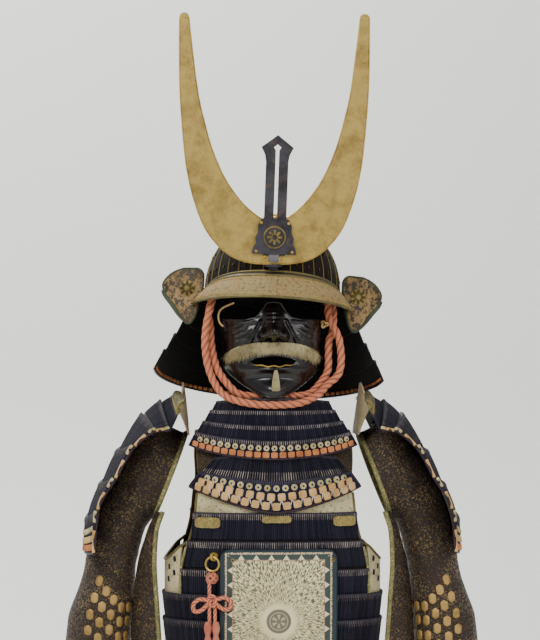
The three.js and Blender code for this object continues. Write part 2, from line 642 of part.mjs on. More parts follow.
// Skirt: seven panels of five lames, each hung on laces from the last waist lame.
for (let k = 0; k < SKIRT.panels; k++) {
  const share = 360 / SKIRT.panels;
  const panelAt = (s, z, off) => {
    const turn = k * share + (s - 0.5) * (share - SKIRT.gap);
    return torsoPoint(turn * DEG, z, off);
  };
  const lace = [SKIRT.laceTop, SKIRT.waist, SKIRT.top + 8].map((at) => ({ at, off: -LAME - 1 }));
  const edges = spread(SKIRT.top, SKIRT.bottom, SKIRT.lames);
  add(root, `skirt_panel_${k + 1}`, steppedWall(panelAt, edges, 5, lace), "navy");
}

// Shoulder guards: a top plate and five laced lames, bowed over the upper arm.
const GUARD_ROWS = [
  { row: 0, edgeX: 171.5, edgeZ: -2, midX: 180.5, midZ: 42.5 },
  { row: 1, edgeX: 192, edgeZ: -3, midX: 210, midZ: 22 },
  { row: 2, edgeX: 226, edgeZ: -27, midX: 251, midZ: -38 },
  { row: 3, edgeX: 257, edgeZ: -79, midX: 279, midZ: -92 },
  { row: 4, edgeX: 285, edgeZ: -130, midX: 302, midZ: -148 },
  { row: 5, edgeX: 292, edgeZ: -201, midX: 308, midZ: -205 },
];
const GUARD_TOP_ROWS = [
  { row: 0, edgeX: 145.5, edgeZ: 47, midX: 149.5, midZ: 58 },
  { row: 1, edgeX: 170, edgeZ: -4, midX: 181, midZ: 41 },
];
function guardPoint(rows, side, s, row, off) {
  const sag = (2 * s - 1) ** 2;
  const at = (place, axis) =>
    mix(tableAt(rows, "row", place, `mid${axis}`), tableAt(rows, "row", place, `edge${axis}`), sag);
  const last = rows.length - 1;
  const [low, high] = [Math.max(0, row - 0.3), Math.min(last, row + 0.3)];
  const along = new THREE.Vector2(at(high, "X") - at(low, "X"), at(high, "Z") - at(low, "Z")).normalize();
  const x = at(row, "X") - along.y * off;
  const z = at(row, "Z") + along.x * off;
  return new THREE.Vector3(side * x, GUARD.halfLength * (2 * s - 1), z);
}
for (const [name, side] of [["left", 1], ["right", -1]]) {
  add(
    root,
    `guard_top_${name}`,
    wall((s, t, face) => guardPoint(GUARD_TOP_ROWS, side, s, t, face ? 0 : LAME), 14, 2),
    "brocade",
  );
  const surface = (s, v, off) => guardPoint(GUARD_ROWS, side, s, -v / GUARD.pitch, off);
  add(
    root,
    `shoulder_guard_${name}`,
    steppedWall(surface, spread(0, -GUARD.lames * GUARD.pitch, GUARD.lames), 14),
    "navy",
  );
}

// Sleeves: cloth tubes from armhole to cuff. A row gives the inner and outer sides of one section.
const SLEEVE_ROWS = [
  { row: 0, innerX: 196, innerZ: -147, outerX: 141, outerZ: -8, y: 0, depth: 64 },
  { row: 1, innerX: 201, innerZ: -154, outerX: 196, outerZ: 12, y: 0, depth: 66 },
  { row: 2, innerX: 208, innerZ: -166, outerX: 238, outerZ: -26, y: 0, depth: 62 },
  { row: 3, innerX: 214, innerZ: -182, outerX: 272.7, outerZ: -87.4, y: 0, depth: 54 },
  { row: 4, innerX: 221, innerZ: -215, outerX: 298.9, outerZ: -154.7, y: 0, depth: 48 },
  { row: 5, innerX: 226, innerZ: -262, outerX: 312, outerZ: -236, y: 0, depth: 50 },
  { row: 6, innerX: 229, innerZ: -312, outerX: 338, outerZ: -312, y: 0, depth: 56 },
  { row: 7, innerX: 234, innerZ: -372, outerX: 342, outerZ: -372, y: -8, depth: 54 },
  { row: 8, innerX: 240, innerZ: -470, outerX: 328, outerZ: -470, y: -24, depth: 45 },
  { row: 9, innerX: 244, innerZ: -570, outerX: 314, outerZ: -570, y: -40, depth: 38 },
];
function sleevePoint(side, turn, row, off) {
  const at = (column) => tableAt(SLEEVE_ROWS, "row", row, column);
  const across = new THREE.Vector2(at("outerX") - at("innerX"), at("outerZ") - at("innerZ"));
  const half = across.length() / 2;
  across.multiplyScalar(((half + off) / half) * Math.cos(turn) * 0.5);
  const x = (at("outerX") + at("innerX")) / 2 + across.x;
  const z = (at("outerZ") + at("innerZ")) / 2 + across.y;
  return new THREE.Vector3(side * x, at("y") - (at("depth") + off) * Math.sin(turn), z);
}
for (const [name, side] of [["left", 1], ["right", -1]]) {
  add(
    root,
    `sleeve_${name}`,
    wall((s, t, face) => sleevePoint(side, s * 2 * Math.PI, t * 9, face ? -LAME : 0), 16, 9, true),
    "mail",
  );
  const handGuard = wall((s, t, face) => cuffPoint(side, s, t, face ? 0 : LAME), 10, 4);
  add(root, `hand_guard_${name}`, handGuard, "darkMetal");
}

// Hand guard over the back of the hand, from the cuff's outer face down.
function cuffPoint(side, s, t, off) {
  const turn = (s - 0.5) * mix(CUFF.topTurn, CUFF.endTurn, t * t) * DEG;
  const place = sleevePoint(side, turn, CUFF.row, CUFF.lift + off + CUFF.bulge * Math.sin(t * Math.PI));
  return place.add(new THREE.Vector3(-side * CUFF.tilt * t, -CUFF.sweep * t, -CUFF.length * t));
}

// Under-arm flaps hang in front of the sleeves between arm and body.
const FLAP_ROWS = [
  { z: -372, front: 185, frontY: -46, back: 233.5, backY: -20 },
  { z: -284, front: 191, frontY: -50, back: 230, backY: -18 },
  { z: -218, front: 195, frontY: -54, back: 221, backY: -22 },
  { z: -168, front: 192, frontY: -60, back: 205, backY: -30 },
  { z: -135, front: 182, frontY: -66, back: 190, backY: -40 },
];
function flapPoint(side, s, t, off) {
  const z = mix(FLAP.top, FLAP.bottom, t);
  const at = (column) => tableAt(FLAP_ROWS, "z", z, column);
  const front = new THREE.Vector2(at("front"), at("frontY"));
  const back = new THREE.Vector2(at("back"), at("backY"));
  const outward = back.clone().sub(front).normalize();
  outward.set(outward.y, -outward.x);
  const reach = FLAP.bow * Math.sin(s * Math.PI) - FLAP.setBack + off;
  const place = front.lerp(back, s).addScaledVector(outward, reach);
  return new THREE.Vector3(side * place.x, place.y, z);
}
for (const [name, side] of [["left", 1], ["right", -1]]) {
  const flap = wall((s, t, face) => flapPoint(side, s, t, face ? 0 : FLAP.thick), 5, 8);
  add(root, `sleeve_flap_${name}`, flap, "mail");
}

export default root;
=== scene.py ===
# Japanese armour of laced lames: helmet with crescent crest, half mask, gorget, cuirass, skirt,
# shoulder guards and mail-faced sleeves. Forms are written in millimetres and made in metres.
import random
from bisect import bisect_right
from functools import partial
from math import asin, copysign, cos, degrees, exp, pi, radians, sin, sqrt

import bmesh
import bpy
from mathutils import Matrix, Vector


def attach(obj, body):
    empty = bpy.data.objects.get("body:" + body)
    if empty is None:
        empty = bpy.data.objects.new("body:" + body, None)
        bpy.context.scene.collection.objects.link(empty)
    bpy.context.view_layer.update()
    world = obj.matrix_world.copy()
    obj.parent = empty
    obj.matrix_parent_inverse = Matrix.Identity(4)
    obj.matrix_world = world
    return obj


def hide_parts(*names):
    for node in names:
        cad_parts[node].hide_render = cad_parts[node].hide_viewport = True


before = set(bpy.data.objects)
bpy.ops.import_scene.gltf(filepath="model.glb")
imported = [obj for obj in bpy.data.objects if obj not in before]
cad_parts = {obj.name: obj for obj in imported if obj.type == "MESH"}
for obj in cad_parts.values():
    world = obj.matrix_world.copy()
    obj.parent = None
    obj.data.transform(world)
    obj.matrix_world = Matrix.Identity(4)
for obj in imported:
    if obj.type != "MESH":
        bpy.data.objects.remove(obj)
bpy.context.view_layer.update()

MM = 0.001
LAME = 2.5  # thickness of a laced lame
STEP = 3.9  # how far a lame's top edge stands off the lame above it
LACE = 0.36  # centimetres from one lace to the next

HELMET = (
    Matrix.Translation((0, -15, 224))
    @ Matrix.Rotation(radians(3), 4, "Y")
    @ Matrix.Rotation(radians(-13), 4, "X")
)
CREST = (
    HELMET
    @ Matrix.Translation((-7, -137, 13))
    @ Matrix.Rotation(radians(13), 4, "X")
    @ Matrix.Rotation(radians(-2.7), 4, "Y")
)
BLADE = CREST @ Matrix.Rotation(radians(1.8), 4, "Y")
WORLD = Matrix.Identity(4)
SIDES = (("left", 1), ("right", -1))


# Camera, floor and light
CAMERA_DISTANCE = 6.0
FRAME_HEIGHT = 1.056  # what the view takes in at the middle of the armour
CAMERA_TURN = radians(-2.7)
VIEW_CENTRE = Vector((-0.0033, 0.0, 0.178))
FLOOR = -0.745


def place_camera():
    data = bpy.data.cameras.new("camera")
    data.sensor_fit = "VERTICAL"
    data.sensor_height = 36
    data.lens = data.sensor_height * CAMERA_DISTANCE / FRAME_HEIGHT
    camera = bpy.data.objects.new("camera", data)
    bpy.context.collection.objects.link(camera)
    back = Vector((sin(CAMERA_TURN), -cos(CAMERA_TURN), 0))
    camera.location = VIEW_CENTRE + back * CAMERA_DISTANCE
    camera.rotation_euler = (radians(90), 0, CAMERA_TURN)
    bpy.context.scene.camera = camera


def area_light(name, place, size, power, target=(0, 0, 0.1)):
    data = bpy.data.lights.new(name, "AREA")
    data.shape = "SQUARE"
    data.size = size
    data.energy = power
    light = bpy.data.objects.new(name, data)
    light.location = place
    light.rotation_euler = (Vector(target) - Vector(place)).to_track_quat("-Z", "Y").to_euler()
    bpy.context.collection.objects.link(light)


# Shader values that are written as sums, and the finishes made from them
def srgb(code):
    parts = [int(code[i : i + 2], 16) / 255 for i in (1, 3, 5)]
    return tuple(p / 12.92 if p <= 0.04045 else ((p + 0.055) / 1.055) ** 2.4 for p in parts)


class Value:
    """A number on a socket; an expression on it adds Math nodes."""

    def __init__(self, finish, socket):
        self.finish = finish
        self.socket = socket

    def math(self, operation, *others):
        return self.finish.math(operation, self, *others)

    def __add__(self, other):
        return self.math("ADD", other)

    def __radd__(self, other):
        return self.math("ADD", other)

    def __sub__(self, other):
        return self.math("SUBTRACT", other)

    def __rsub__(self, other):
        return self.finish.math("SUBTRACT", other, self)

    def __mul__(self, other):
        return self.math("MULTIPLY", other)

    def __truediv__(self, other):
        return self.math("DIVIDE", other)

    def __pow__(self, other):
        return self.math("POWER", other)


class Finish:
    """A material in the making."""

    def __init__(self, name, **uniform):
        self.material = bpy.data.materials.new(name)
        self.material.use_nodes = True
        self.tree = self.material.node_tree
        self.shader = self.tree.nodes["Principled BSDF"]
        for socket, value in uniform.items():
            self.shader.inputs[socket.replace("_", " ")].default_value = value

    def node(self, kind, settings, inputs, output=0):
        made = self.tree.nodes.new(kind)
        for key, value in settings.items():
            setattr(made, key, value)
        for key, value in inputs.items():
            self.feed(made.inputs[key], value)
        return Value(self, made.outputs[output])

    def feed(self, socket, value):
        if isinstance(value, Value):
            self.tree.links.new(value.socket, socket)
        elif isinstance(value, str):
            socket.default_value = (*srgb(value), 1)
        else:
            socket.default_value = value

    def math(self, operation, *values):
        return self.node("ShaderNodeMath", {"operation": operation}, dict(enumerate(values)))

    def mix(self, share, first, second):
        return self.node("ShaderNodeMix", {"data_type": "RGBA"}, {0: share, 6: first, 7: second}, 2)

    def rise(self, value, low, high):
        settings = {"interpolation_type": "SMOOTHSTEP"}
        return self.node("ShaderNodeMapRange", settings, {"Value": value, "From Min": low, "From Max": high})

    def band(self, value, low, high, soft):
        return self.rise(value, low - soft, low + soft) * (1 - self.rise(value, high - soft, high + soft))

    def place(self):
        return self.node("ShaderNodeTexCoord", {}, {}, "Object")

    def across_down(self, layer):
        place = self.node("ShaderNodeUVMap", {"uv_map": layer}, {})
        return tuple(self.node("ShaderNodeSeparateXYZ", {}, {0: place}, axis) for axis in (0, 1))

    def spot(self, x, y, z=0.0):
        return self.node("ShaderNodeCombineXYZ", {}, {0: x, 1: y, 2: z})

    def noise(self, place, scale, detail=3.0, rough=0.55):
        inputs = {"Vector": place, "Scale": scale, "Detail": detail, "Roughness": rough}
        return self.node("ShaderNodeTexNoise", {}, inputs)

    def cells(self, place, scale, feature="F1"):
        inputs = {"Vector": place, "Scale": scale}
        return self.node("ShaderNodeTexVoronoi", {"feature": feature}, inputs, "Distance")

    def chance(self, value):
        return self.node("ShaderNodeTexWhiteNoise", {"noise_dimensions": "1D"}, {"W": value})

    def set(self, colour, roughness=None, metallic=None, height=None, depth=0.001):
        for socket, value in (("Base Color", colour), ("Roughness", roughness), ("Metallic", metallic)):
            if value is not None:
                self.feed(self.shader.inputs[socket], value)
        if height is not None:
            bump = self.node("ShaderNodeBump", {}, {"Strength": 1.0, "Distance": depth, "Height": height})
            self.feed(self.shader.inputs["Normal"], bump)
        return self.material


def laced_silk(name, deep, worn, dash, dash_strength, dash_end, dash_start=0.05):
    """Close vertical silk laces over a lame; share v runs from 0 to 1 down each lame."""
    f = Finish(name, Specular_IOR_Level=0.15)
    across, down = f.across_down("cm")
    _, share = f.across_down("share")
    share = share.math("FRACT")
    lace = across / LACE
    round_lace = (lace * (2 * pi)).math("SINE") * 0.5 + 0.5
    own = f.chance(lace.math("FLOOR"))
    thread = f.noise(f.spot(across * 3.0, down * 26.0), 1.0, 2.0)
    fade = f.noise(f.place(), 9.0, 4.0)
    tone = f.mix(f.rise(fade * 0.7 + own * 0.45, 0.25, 0.85), deep, worn)
    # The top roll of each lame is lightened towards pale grey: a painted highlight where light falls on it.
    painted_highlight_on_roll = f.band(share, -0.2, 0.13, 0.06)
    tone = f.mix(painted_highlight_on_roll * 0.45, tone, "#56525a")
    # The edges of each lace are darkened towards near black: painted shade in the grooves between laces.
    hollow = (1 - round_lace) ** 3.0
    tone = f.mix(hollow * 0.85, tone, "#040406")
    stitch = f.band(share, dash_start, dash_end, 0.012) * f.rise(round_lace, 0.6, 0.9)
    patchy = f.rise(f.noise(f.place(), 34.0, 4.0, 0.7), 0.4, 0.6)
    tone = f.mix(stitch * dash_strength * (own * 0.6 + 0.3) * (patchy * 0.75 + 0.25), tone, dash)
    bare = f.rise(share, 0.945, 0.965)
    tone = f.mix(bare, tone, "#1d1613")
    height = (round_lace * 0.8 + thread * 0.35) * (1 - bare)
    return f.set(tone, 0.82 - bare * 0.45 + thread * 0.1, height=height, depth=0.0011)


def lacquer(name, deep, brown, roughness, depth=0.0004, coat=0.2, shine=0.4):
    f = Finish(name, Coat_Weight=coat, Coat_Roughness=0.1, Specular_IOR_Level=shine)
    cloud = f.noise(f.place(), 22.0, 5.0)
    grain = f.noise(f.place(), 320.0, 2.0)
    rub = f.rise(f.noise(f.place(), 60.0, 6.0, 0.7), 0.56, 0.72)
    tone = f.mix(f.rise(cloud, 0.35, 0.7), deep, brown)
    tone = f.mix(rub * 0.2, tone, "#513826")
    return f.set(tone, roughness + cloud * 0.12 + rub * 0.2, height=cloud * 0.6 + grain * 0.2, depth=depth)


def ridged_bowl(name):
    """Iron plates side by side: share u counts the plates, with a gilt line on each raised edge."""
    f = Finish(name, Specular_IOR_Level=0.12)
    plate, _ = f.across_down("share")
    beside = ((plate.math("FRACT") - 0.5).math("ABSOLUTE") - 0.5).math("ABSOLUTE")
    ridge = 1 - f.rise(beside, 0.025, 0.07)
    own = f.chance(plate.math("FLOOR"))
    cloud = f.noise(f.place(), 26.0, 5.0)
    speck = f.rise(f.noise(f.place(), 230.0, 3.0), 0.58, 0.7)
    tone = f.mix(f.rise(cloud * 0.8 + own * 0.3, 0.3, 0.8), "#0b0809", "#1c1513")
    tone = f.mix(speck * 0.3, tone, "#4d3a2e")
    tone = f.mix(ridge * (cloud * 0.6 + 0.5), tone, "#7a6c40")
    return f.set(tone, 0.55 + cloud * 0.2, ridge * 0.2, cloud * 0.5 + speck * 0.3, 0.0005)


def gilt(name, tone, dark, roughness, wear):
    f = Finish(name)
    place = f.place()
    cloud = f.noise(place, 14.0, 5.0)
    stretched = f.node("ShaderNodeVectorMath", {"operation": "MULTIPLY"}, {0: place, 1: (420.0, 420.0, 26.0)})
    brush = f.noise(stretched, 1.0, 2.0)
    fine = f.noise(place, 42.0, 8.0, 0.8)
    spot = f.rise(f.noise(place, 95.0, 6.0, 0.7), 0.6, 0.7)
    colour = f.mix(f.rise(cloud * 0.45 + fine * 0.55, 0.42, 0.66) * wear, tone, dark)
    colour = f.mix(spot * wear, colour, dark)
    return f.set(colour, roughness + cloud * 0.16 + spot * 0.2, 0.92, brush * 0.25 + cloud * 0.5, 0.0003)


def iron(name, tone, light):
    f = Finish(name)
    cloud = f.noise(f.place(), 30.0, 6.0, 0.65)
    pit = f.noise(f.place(), 260.0, 4.0)
    rust = f.rise(f.noise(f.place(), 48.0, 5.0), 0.54, 0.7)
    colour = f.mix(f.rise(cloud, 0.3, 0.7), tone, light)
    colour = f.mix(rust * 0.5, colour, "#5d3d2a")
    return f.set(colour, 0.4 + cloud * 0.25, 0.7 - rust * 0.4, pit * 0.5 + cloud * 0.5, 0.0005)


def printed_leather(name, ground, mark, second, stipple):
    """Smoked leather with a small printed figure and stippling."""
    f = Finish(name, Specular_IOR_Level=0.35)
    across, down = f.across_down("cm")
    flat = f.spot(across, down)
    stain = f.noise(f.place(), 18.0, 5.0)
    pore = f.noise(f.place(), 420.0, 3.0)
    dots = 1 - f.rise(f.cells(flat, 5.2), 0.16, 0.3)
    figure = f.rise(f.noise(flat, 1.8, 6.0, 0.7), 0.53, 0.6)
    figure = figure * (1 - f.rise(f.noise(flat, 2.6, 1.0), 0.6, 0.64))
    red = f.rise(f.noise(flat, 1.9, 1.0), 0.66, 0.7)
    colour = f.mix(f.rise(stain, 0.35, 0.7) * 0.7, ground, "#8f8156")
    colour = f.mix(dots * stipple, colour, "#62593c")
    colour = f.mix(figure * 0.7, colour, mark)
    colour = f.mix(red * 0.5, colour, second)
    return f.set(colour, 0.62 + pore * 0.15, height=pore * 0.5 + stain * 0.6 - dots * 0.3, depth=0.0005)


def worn_leather(name, ground, worn):
    """Leather rubbed through to the dark lacquer in uneven patches."""
    f = Finish(name, Specular_IOR_Level=0.35)
    rub = f.noise(f.place(), 130.0, 7.0, 0.78)
    pore = f.noise(f.place(), 300.0, 3.0)
    stain = f.noise(f.place(), 24.0, 4.0)
    fine = f.rise(f.noise(f.place(), 260.0, 4.0, 0.7), 0.52, 0.62)
    gone = f.rise(rub + stain * 0.25, 0.6, 0.67)
    colour = f.mix(f.rise(stain, 0.35, 0.7), ground, "#6f5a36")
    colour = f.mix(fine * 0.45, colour, "#5b4628")
    colour = f.mix(gone, colour, worn)
    return f.set(colour, 0.6 - gone * 0.15, height=pore * 0.4 - gone * 0.6, depth=0.0006)


PANEL = {"x": 4, "half": 88.5, "top": -193, "bottom": -424, "off": 8.1, "thick": 3, "corner": 15}


def panel_leather(name):
    """Front panel, with cm measured from its middle: rim, stitches, zigzag border and radial strokes."""
    f = Finish(name, Specular_IOR_Level=0.35)
    x, z = f.across_down("cm")
    half_wide = PANEL["half"] / 10
    half_high = (PANEL["top"] - PANEL["bottom"]) / 20
    inset = (half_wide - x.math("ABSOLUTE")).math("MINIMUM", half_high - z.math("ABSOLUTE"))
    stain = f.noise(f.place(), 14.0, 5.0)
    pore = f.noise(f.place(), 380.0, 3.0)
    middle_z = z - 0.1
    radius = (x * x + middle_z * middle_z).math("SQRT")
    angle = x.math("ARCTAN2", middle_z)
    strokes = f.noise(f.spot(angle * 48.0, radius * 1.5), 1.0, 1.0, 0.5)
    breaks = f.noise(f.spot(x, z), 1.3, 2.0)
    stroke = f.rise(strokes, 0.46, 0.54) * f.rise(breaks, 0.2, 0.5) * f.rise(radius, 2.3, 3.6)
    colour = f.mix(f.rise(stain, 0.3, 0.8), "#e6d8a8", "#cfbe8c")
    colour = f.mix(stroke, colour, "#55573f")
    disc = 1 - f.rise(radius, 1.92, 2.0)
    petal = (angle * 6.0).math("COSINE") * 0.5 + 0.5
    motif = f.band(radius, 0.35, 1.1, 0.05) * f.rise(petal, 0.45, 0.6) + f.band(radius, 1.35, 1.5, 0.03)
    colour = f.mix(disc * (0.92 - motif * 0.4), colour, f.mix(stain, "#3f3e35", "#66645a"))
    runs = x.math("ABSOLUTE").math("GREATER_THAN", z.math("ABSOLUTE") - (half_high - half_wide))
    along = runs * z + (1 - runs) * x
    tooth = ((along * 0.42).math("FRACT") - 0.5).math("ABSOLUTE")
    border = f.band(inset, 0.62, 1.5, 0.03)
    green = border * f.rise(inset - 0.7 - tooth * 3.6, 0.02, -0.02)
    colour = f.mix(border, colour, "#d6cba6")
    colour = f.mix(green, colour, "#37423c")
    stitches = f.band(inset, 0.44, 0.56, 0.02)
    red_turn = f.rise((along * 2.6).math("FRACT"), 0.45, 0.55)
    colour = f.mix(stitches, colour, f.mix(red_turn, "#e9e2cf", "#a4564b"))
    inner = f.band(inset, 1.5, 1.62, 0.02)
    colour = f.mix(inner * 0.7, colour, "#96614f")
    rim = 1 - f.rise(inset, 0.3, 0.34)
    colour = f.mix(rim, colour, f.mix(stain, "#1d292e", "#2b3a40"))
    height = rim * 1.3 + stitches * (1 - red_turn) * 0.8 + pore * 0.2 + stain * 0.3
    return f.set(colour, 0.6 + pore * 0.15, height=height, depth=0.0009)


def brocade(name, ground, gold, dark, scale=1.5):
    f = Finish(name, Specular_IOR_Level=0.3)
    across, down = f.across_down("cm")
    flat = f.spot(across, down)
    leaf = f.cells(flat, scale)
    vein = f.cells(flat, scale * 1.9, "DISTANCE_TO_EDGE")
    thread = ((across + down) * 40.0).math("SINE") * 0.5 + 0.5
    cloud = f.noise(f.place(), 30.0, 4.0)
    colour = f.mix(f.rise(leaf, 0.22, 0.34), gold, ground)
    colour = f.mix((1 - f.rise(vein, 0.03, 0.08)) * 0.75, colour, gold)
    colour = f.mix(f.rise(cloud, 0.5, 0.75) * 0.5, colour, dark)
    return f.set(colour, 0.7, height=thread * 0.5 + (1 - leaf), depth=0.0007)


def braided_silk(name, tone, shade, pitch=26.0):
    f = Finish(name, Specular_IOR_Level=0.3)
    cloud = f.noise(f.place(), 34.0, 4.0)
    across, down = f.across_down("cm")
    rising = (across * pitch + down * 9.0).math("SINE")
    plait = rising * (across * pitch - down * 9.0).math("SINE") * 0.5 + 0.5
    # The darker colour follows random cloud and, a little, the low parts of the plait, where it is painted
    # shade.
    colour = f.mix(f.rise(cloud + plait * 0.2, 0.3, 0.8), shade, tone)
    return f.set(colour, 0.78, height=plait + cloud * 0.5, depth=0.0006)


ROPE_RADIUS, ROPE_TWIST = 6.0, 1.5  # millimetres, and how far the strands turn in radians per centimetre
CORD_RADIUS, CORD_TWIST = 3.1, 2.6
STRANDS = 3


def twisted_rope(name, tone, shade, twist, radius):
    """Strands laid round each other: darker where two strands meet, which is painted shade in the grooves,
    with fine threads along each strand.
    """
    f = Finish(name, Specular_IOR_Level=0.3)
    across, down = f.across_down("cm")
    turn = across / (radius / 10) - down * twist
    crown = (turn * (STRANDS / 2)).math("COSINE").math("ABSOLUTE")
    cloud = f.noise(f.place(), 60.0, 4.0)
    thread = f.noise(f.spot(across * 22.0, down * 3.0), 1.0, 2.0)
    # The shade colour fills the grooves between strands: painted shade.
    colour = f.mix(f.rise(crown + cloud * 0.4, 0.35, 1.0), shade, tone)
    return f.set(colour, 0.8, height=crown.math("SQRT") + thread * 0.4, depth=0.0012)


def mail(name):
    """Small dark rings close together on cloth, with painted golden glints here and there, their gold dull in
    some patches and bright in others.
    """
    f = Finish(name)
    place = f.place()
    link = f.cells(place, 250.0)
    ring = f.band(link, 0.26, 0.5, 0.1)
    cloud = f.noise(place, 16.0, 5.0)
    # Fine bright gold spots on the rings are painted glints.
    painted_glint = f.rise(f.noise(place, 460.0, 2.0, 0.7), 0.42, 0.62)
    worn = f.rise(f.noise(place, 24.0, 4.0), 0.35, 0.65)
    cloth = f.mix(cloud, "#120d0c", "#2b1b15")
    metal = f.mix(painted_glint, "#2e2219", f.mix(worn, "#6b5233", "#ab8f5f"))
    return f.set(f.mix(ring, cloth, metal), 0.7 - ring * 0.25, ring * 0.5, ring + cloud * 0.3, 0.0012)


def strands(name, tone, shade, scale=60.0):
    """Hair or loose silk, with streaks along v."""
    f = Finish(name, Specular_IOR_Level=0.35)
    across, down = f.across_down("cm")
    streak = f.noise(f.spot(across * scale, down * 1.5), 1.0, 3.0)
    cloud = f.noise(f.place(), 40.0, 3.0)
    colour = f.mix(f.rise(streak * 0.7 + cloud * 0.4, 0.35, 0.75), shade, tone)
    return f.set(colour, 0.7, height=streak, depth=0.0008)


FINISHES = {
    "navy": laced_silk("navy_lacing", "#13121d", "#282633", "#8a7c70", 0.62, 0.24),
    "navy_dashed": laced_silk("navy_lacing_dashed", "#13121e", "#272534", "#b3a69b", 1.15, 0.25),
    "navy_low_dash": laced_silk("navy_lacing_low_dash", "#13121d", "#282633", "#b3a69b", 1.0, 0.9, 0.66),
    "navy_plain": laced_silk("navy_lacing_plain", "#17162b", "#2b2a46", "#85776a", 0.0, 0.2),
    "inside": lacquer("inside_lacquer", "#060505", "#100b09", 0.62, coat=0.0, shine=0.12),
    "black": lacquer("black_lacquer", "#090707", "#150f0d", 0.34),
    "mask": lacquer("mask_lacquer", "#090707", "#140d0b", 0.19, 0.0002),
    "bowl": ridged_bowl("plated_bowl"),
    "crest": gilt("crest_gilding", "#c9ab61", "#7f6736", 0.36, 0.85),
    "gold": gilt("fitting_gilding", "#c2a458", "#6b5227", 0.36, 0.7),
    "old_gold": gilt("rim_gilding", "#94824e", "#4d4128", 0.5, 0.85),
    "iron": iron("brown_iron", "#29272a", "#4a474c"),
    "steel": iron("grey_iron", "#57565a", "#77767a"),
    "leather": printed_leather("printed_leather", "#cdbf95", "#5c5c42", "#8a5a48", 0.8),
    "speckled": printed_leather("speckled_leather", "#94794a", "#37301c", "#4a3420", 1.0),
    "flange": printed_leather("flange_leather", "#b9a684", "#6b5a3e", "#8a7452", 0.35),
    "mottled": worn_leather("mottled_leather", "#94774a", "#2b2216"),
    "olive_rim": gilt("olive_rim_gilding", "#7d724b", "#3f3a28", 0.55, 0.8),
    "dark_gold": gilt("dark_gilding", "#5d5030", "#2e2819", 0.55, 0.8),
    "bowl_band": lacquer("worn_band", "#17120f", "#3a3020", 0.4),
    "engraved": brocade("engraved_gilding", "#7d6a34", "#c4b070", "#4a3f20", 3.4),
    "plates": gilt("sleeve_plate_gilding", "#bb9a60", "#6d5530", 0.55, 0.9),
    "orange_lacquer": lacquer("red_lacquer", "#3a110b", "#5a1d12", 0.3),
    "blue": braided_silk("blue_leather", "#2a393f", "#182226"),
    "panel": panel_leather("panel_leather"),
    "brocade": brocade("green_brocade", "#3f4632", "#8d7a48", "#232019"),
    "strap": brocade("dark_brocade", "#2b231b", "#5f4c2e", "#17120f", 2.4),
    "binding": brocade("binding_brocade", "#6d7048", "#c2ad70", "#37372a", 1.8),
    "cream": braided_silk("cream_silk", "#dcb377", "#a67c48"),
    "pale": braided_silk("pale_silk", "#cdbf90", "#857748"),
    "orange": braided_silk("orange_silk", "#cf8450", "#8f5230"),
    "white": braided_silk("white_silk", "#d3d0ca", "#8f8a85"),
    "rope": twisted_rope("salmon_rope", "#c87a58", "#9a563d", ROPE_TWIST, ROPE_RADIUS),
    "cord": twisted_rope("salmon_cord", "#dc8a6c", "#94452f", CORD_TWIST, CORD_RADIUS),
    "tassel": strands("tassel_silk", "#de8f74", "#a3523b"),
    "plum": braided_silk("plum_binding", "#3b2b33", "#231920"),
    "green": braided_silk("green_rim", "#4a5240", "#2a2f22"),
    "edging": braided_silk("navy_edging", "#1d1c2a", "#100f18", 30.0),
    "mail": mail("ring_mail"),
    "lining": braided_silk("dark_lining", "#2a2432", "#16131c"),
    "hair": strands("pale_hair", "#c9bb8c", "#6b5d3c", 30.0),
}

# The usual slot of each finish
SLOTS = {
    "navy_lacing": ("navy", "navy_dashed", "navy_low_dash", "navy_plain", "plum", "orange", "white", "pale"),
    "black_lacquer": ("black", "bowl", "bowl_band", "mask"),
    "gilt_metal": ("gold", "old_gold", "dark_gold", "olive_rim", "engraved"),
    "dark_iron": ("iron", "steel"),
    "stencilled_leather": ("leather", "speckled", "mottled", "panel", "blue", "edging"),
    "brocade": ("brocade", "strap", "flange", "binding", "green"),
    "mail_on_cloth": ("mail", "plates"),
    "twisted_cord": ("rope", "cream"),
    "silk_tassel": ("cord", "tassel"),
    "hair": ("hair",),
}
SLOT_OF = {finish: slot for slot, finishes in SLOTS.items() for finish in finishes}


# Numbers, tables and curves
def mix(a, b, t):
    return a + (b - a) * t


def bump(x, width):
    return exp(-((x / width) ** 2))


def smooth(t, low=0.0, high=1.0):
    t = min(1.0, max(0.0, (t - low) / (high - low)))
    return t * t * (3 - 2 * t)


def spow(value, power):
    return copysign(abs(value) ** power, value)


def spread(low, high, count):
    return [mix(low, high, i / count) for i in range(count + 1)]


def round_turn(count):
    """Angles that share out a whole turn, without the last, which is the first again."""
    return spread(0, 2 * pi, count)[:-1]


def along(rows, place, column):
    """Smooth value of a column at a place along rows that are sorted by their first column."""
    place = min(max(place, rows[0][0]), rows[-1][0])
    i = min(max(bisect_right([row[0] for row in rows], place), 1), len(rows) - 1)

    def secant(k):
        if k < 1 or k >= len(rows):
            return None
        return (rows[k][column] - rows[k - 1][column]) / (rows[k][0] - rows[k - 1][0])

    def slope(k):
        before, after = secant(k), secant(k + 1)
        if before is None or after is None:
            return before if after is None else after
        return 0.0 if before * after <= 0 else 2 * before * after / (before + after)

    width = rows[i][0] - rows[i - 1][0]
    t = (place - rows[i - 1][0]) / width
    start, end = rows[i - 1][column], rows[i][column]
    rise, fall = slope(i - 1) * width, slope(i) * width
    return (
        (2 * t**3 - 3 * t**2 + 1) * start
        + (t**3 - 2 * t**2 + t) * rise
        + (3 * t**2 - 2 * t**3) * end
        + (t**3 - t**2) * fall
    )


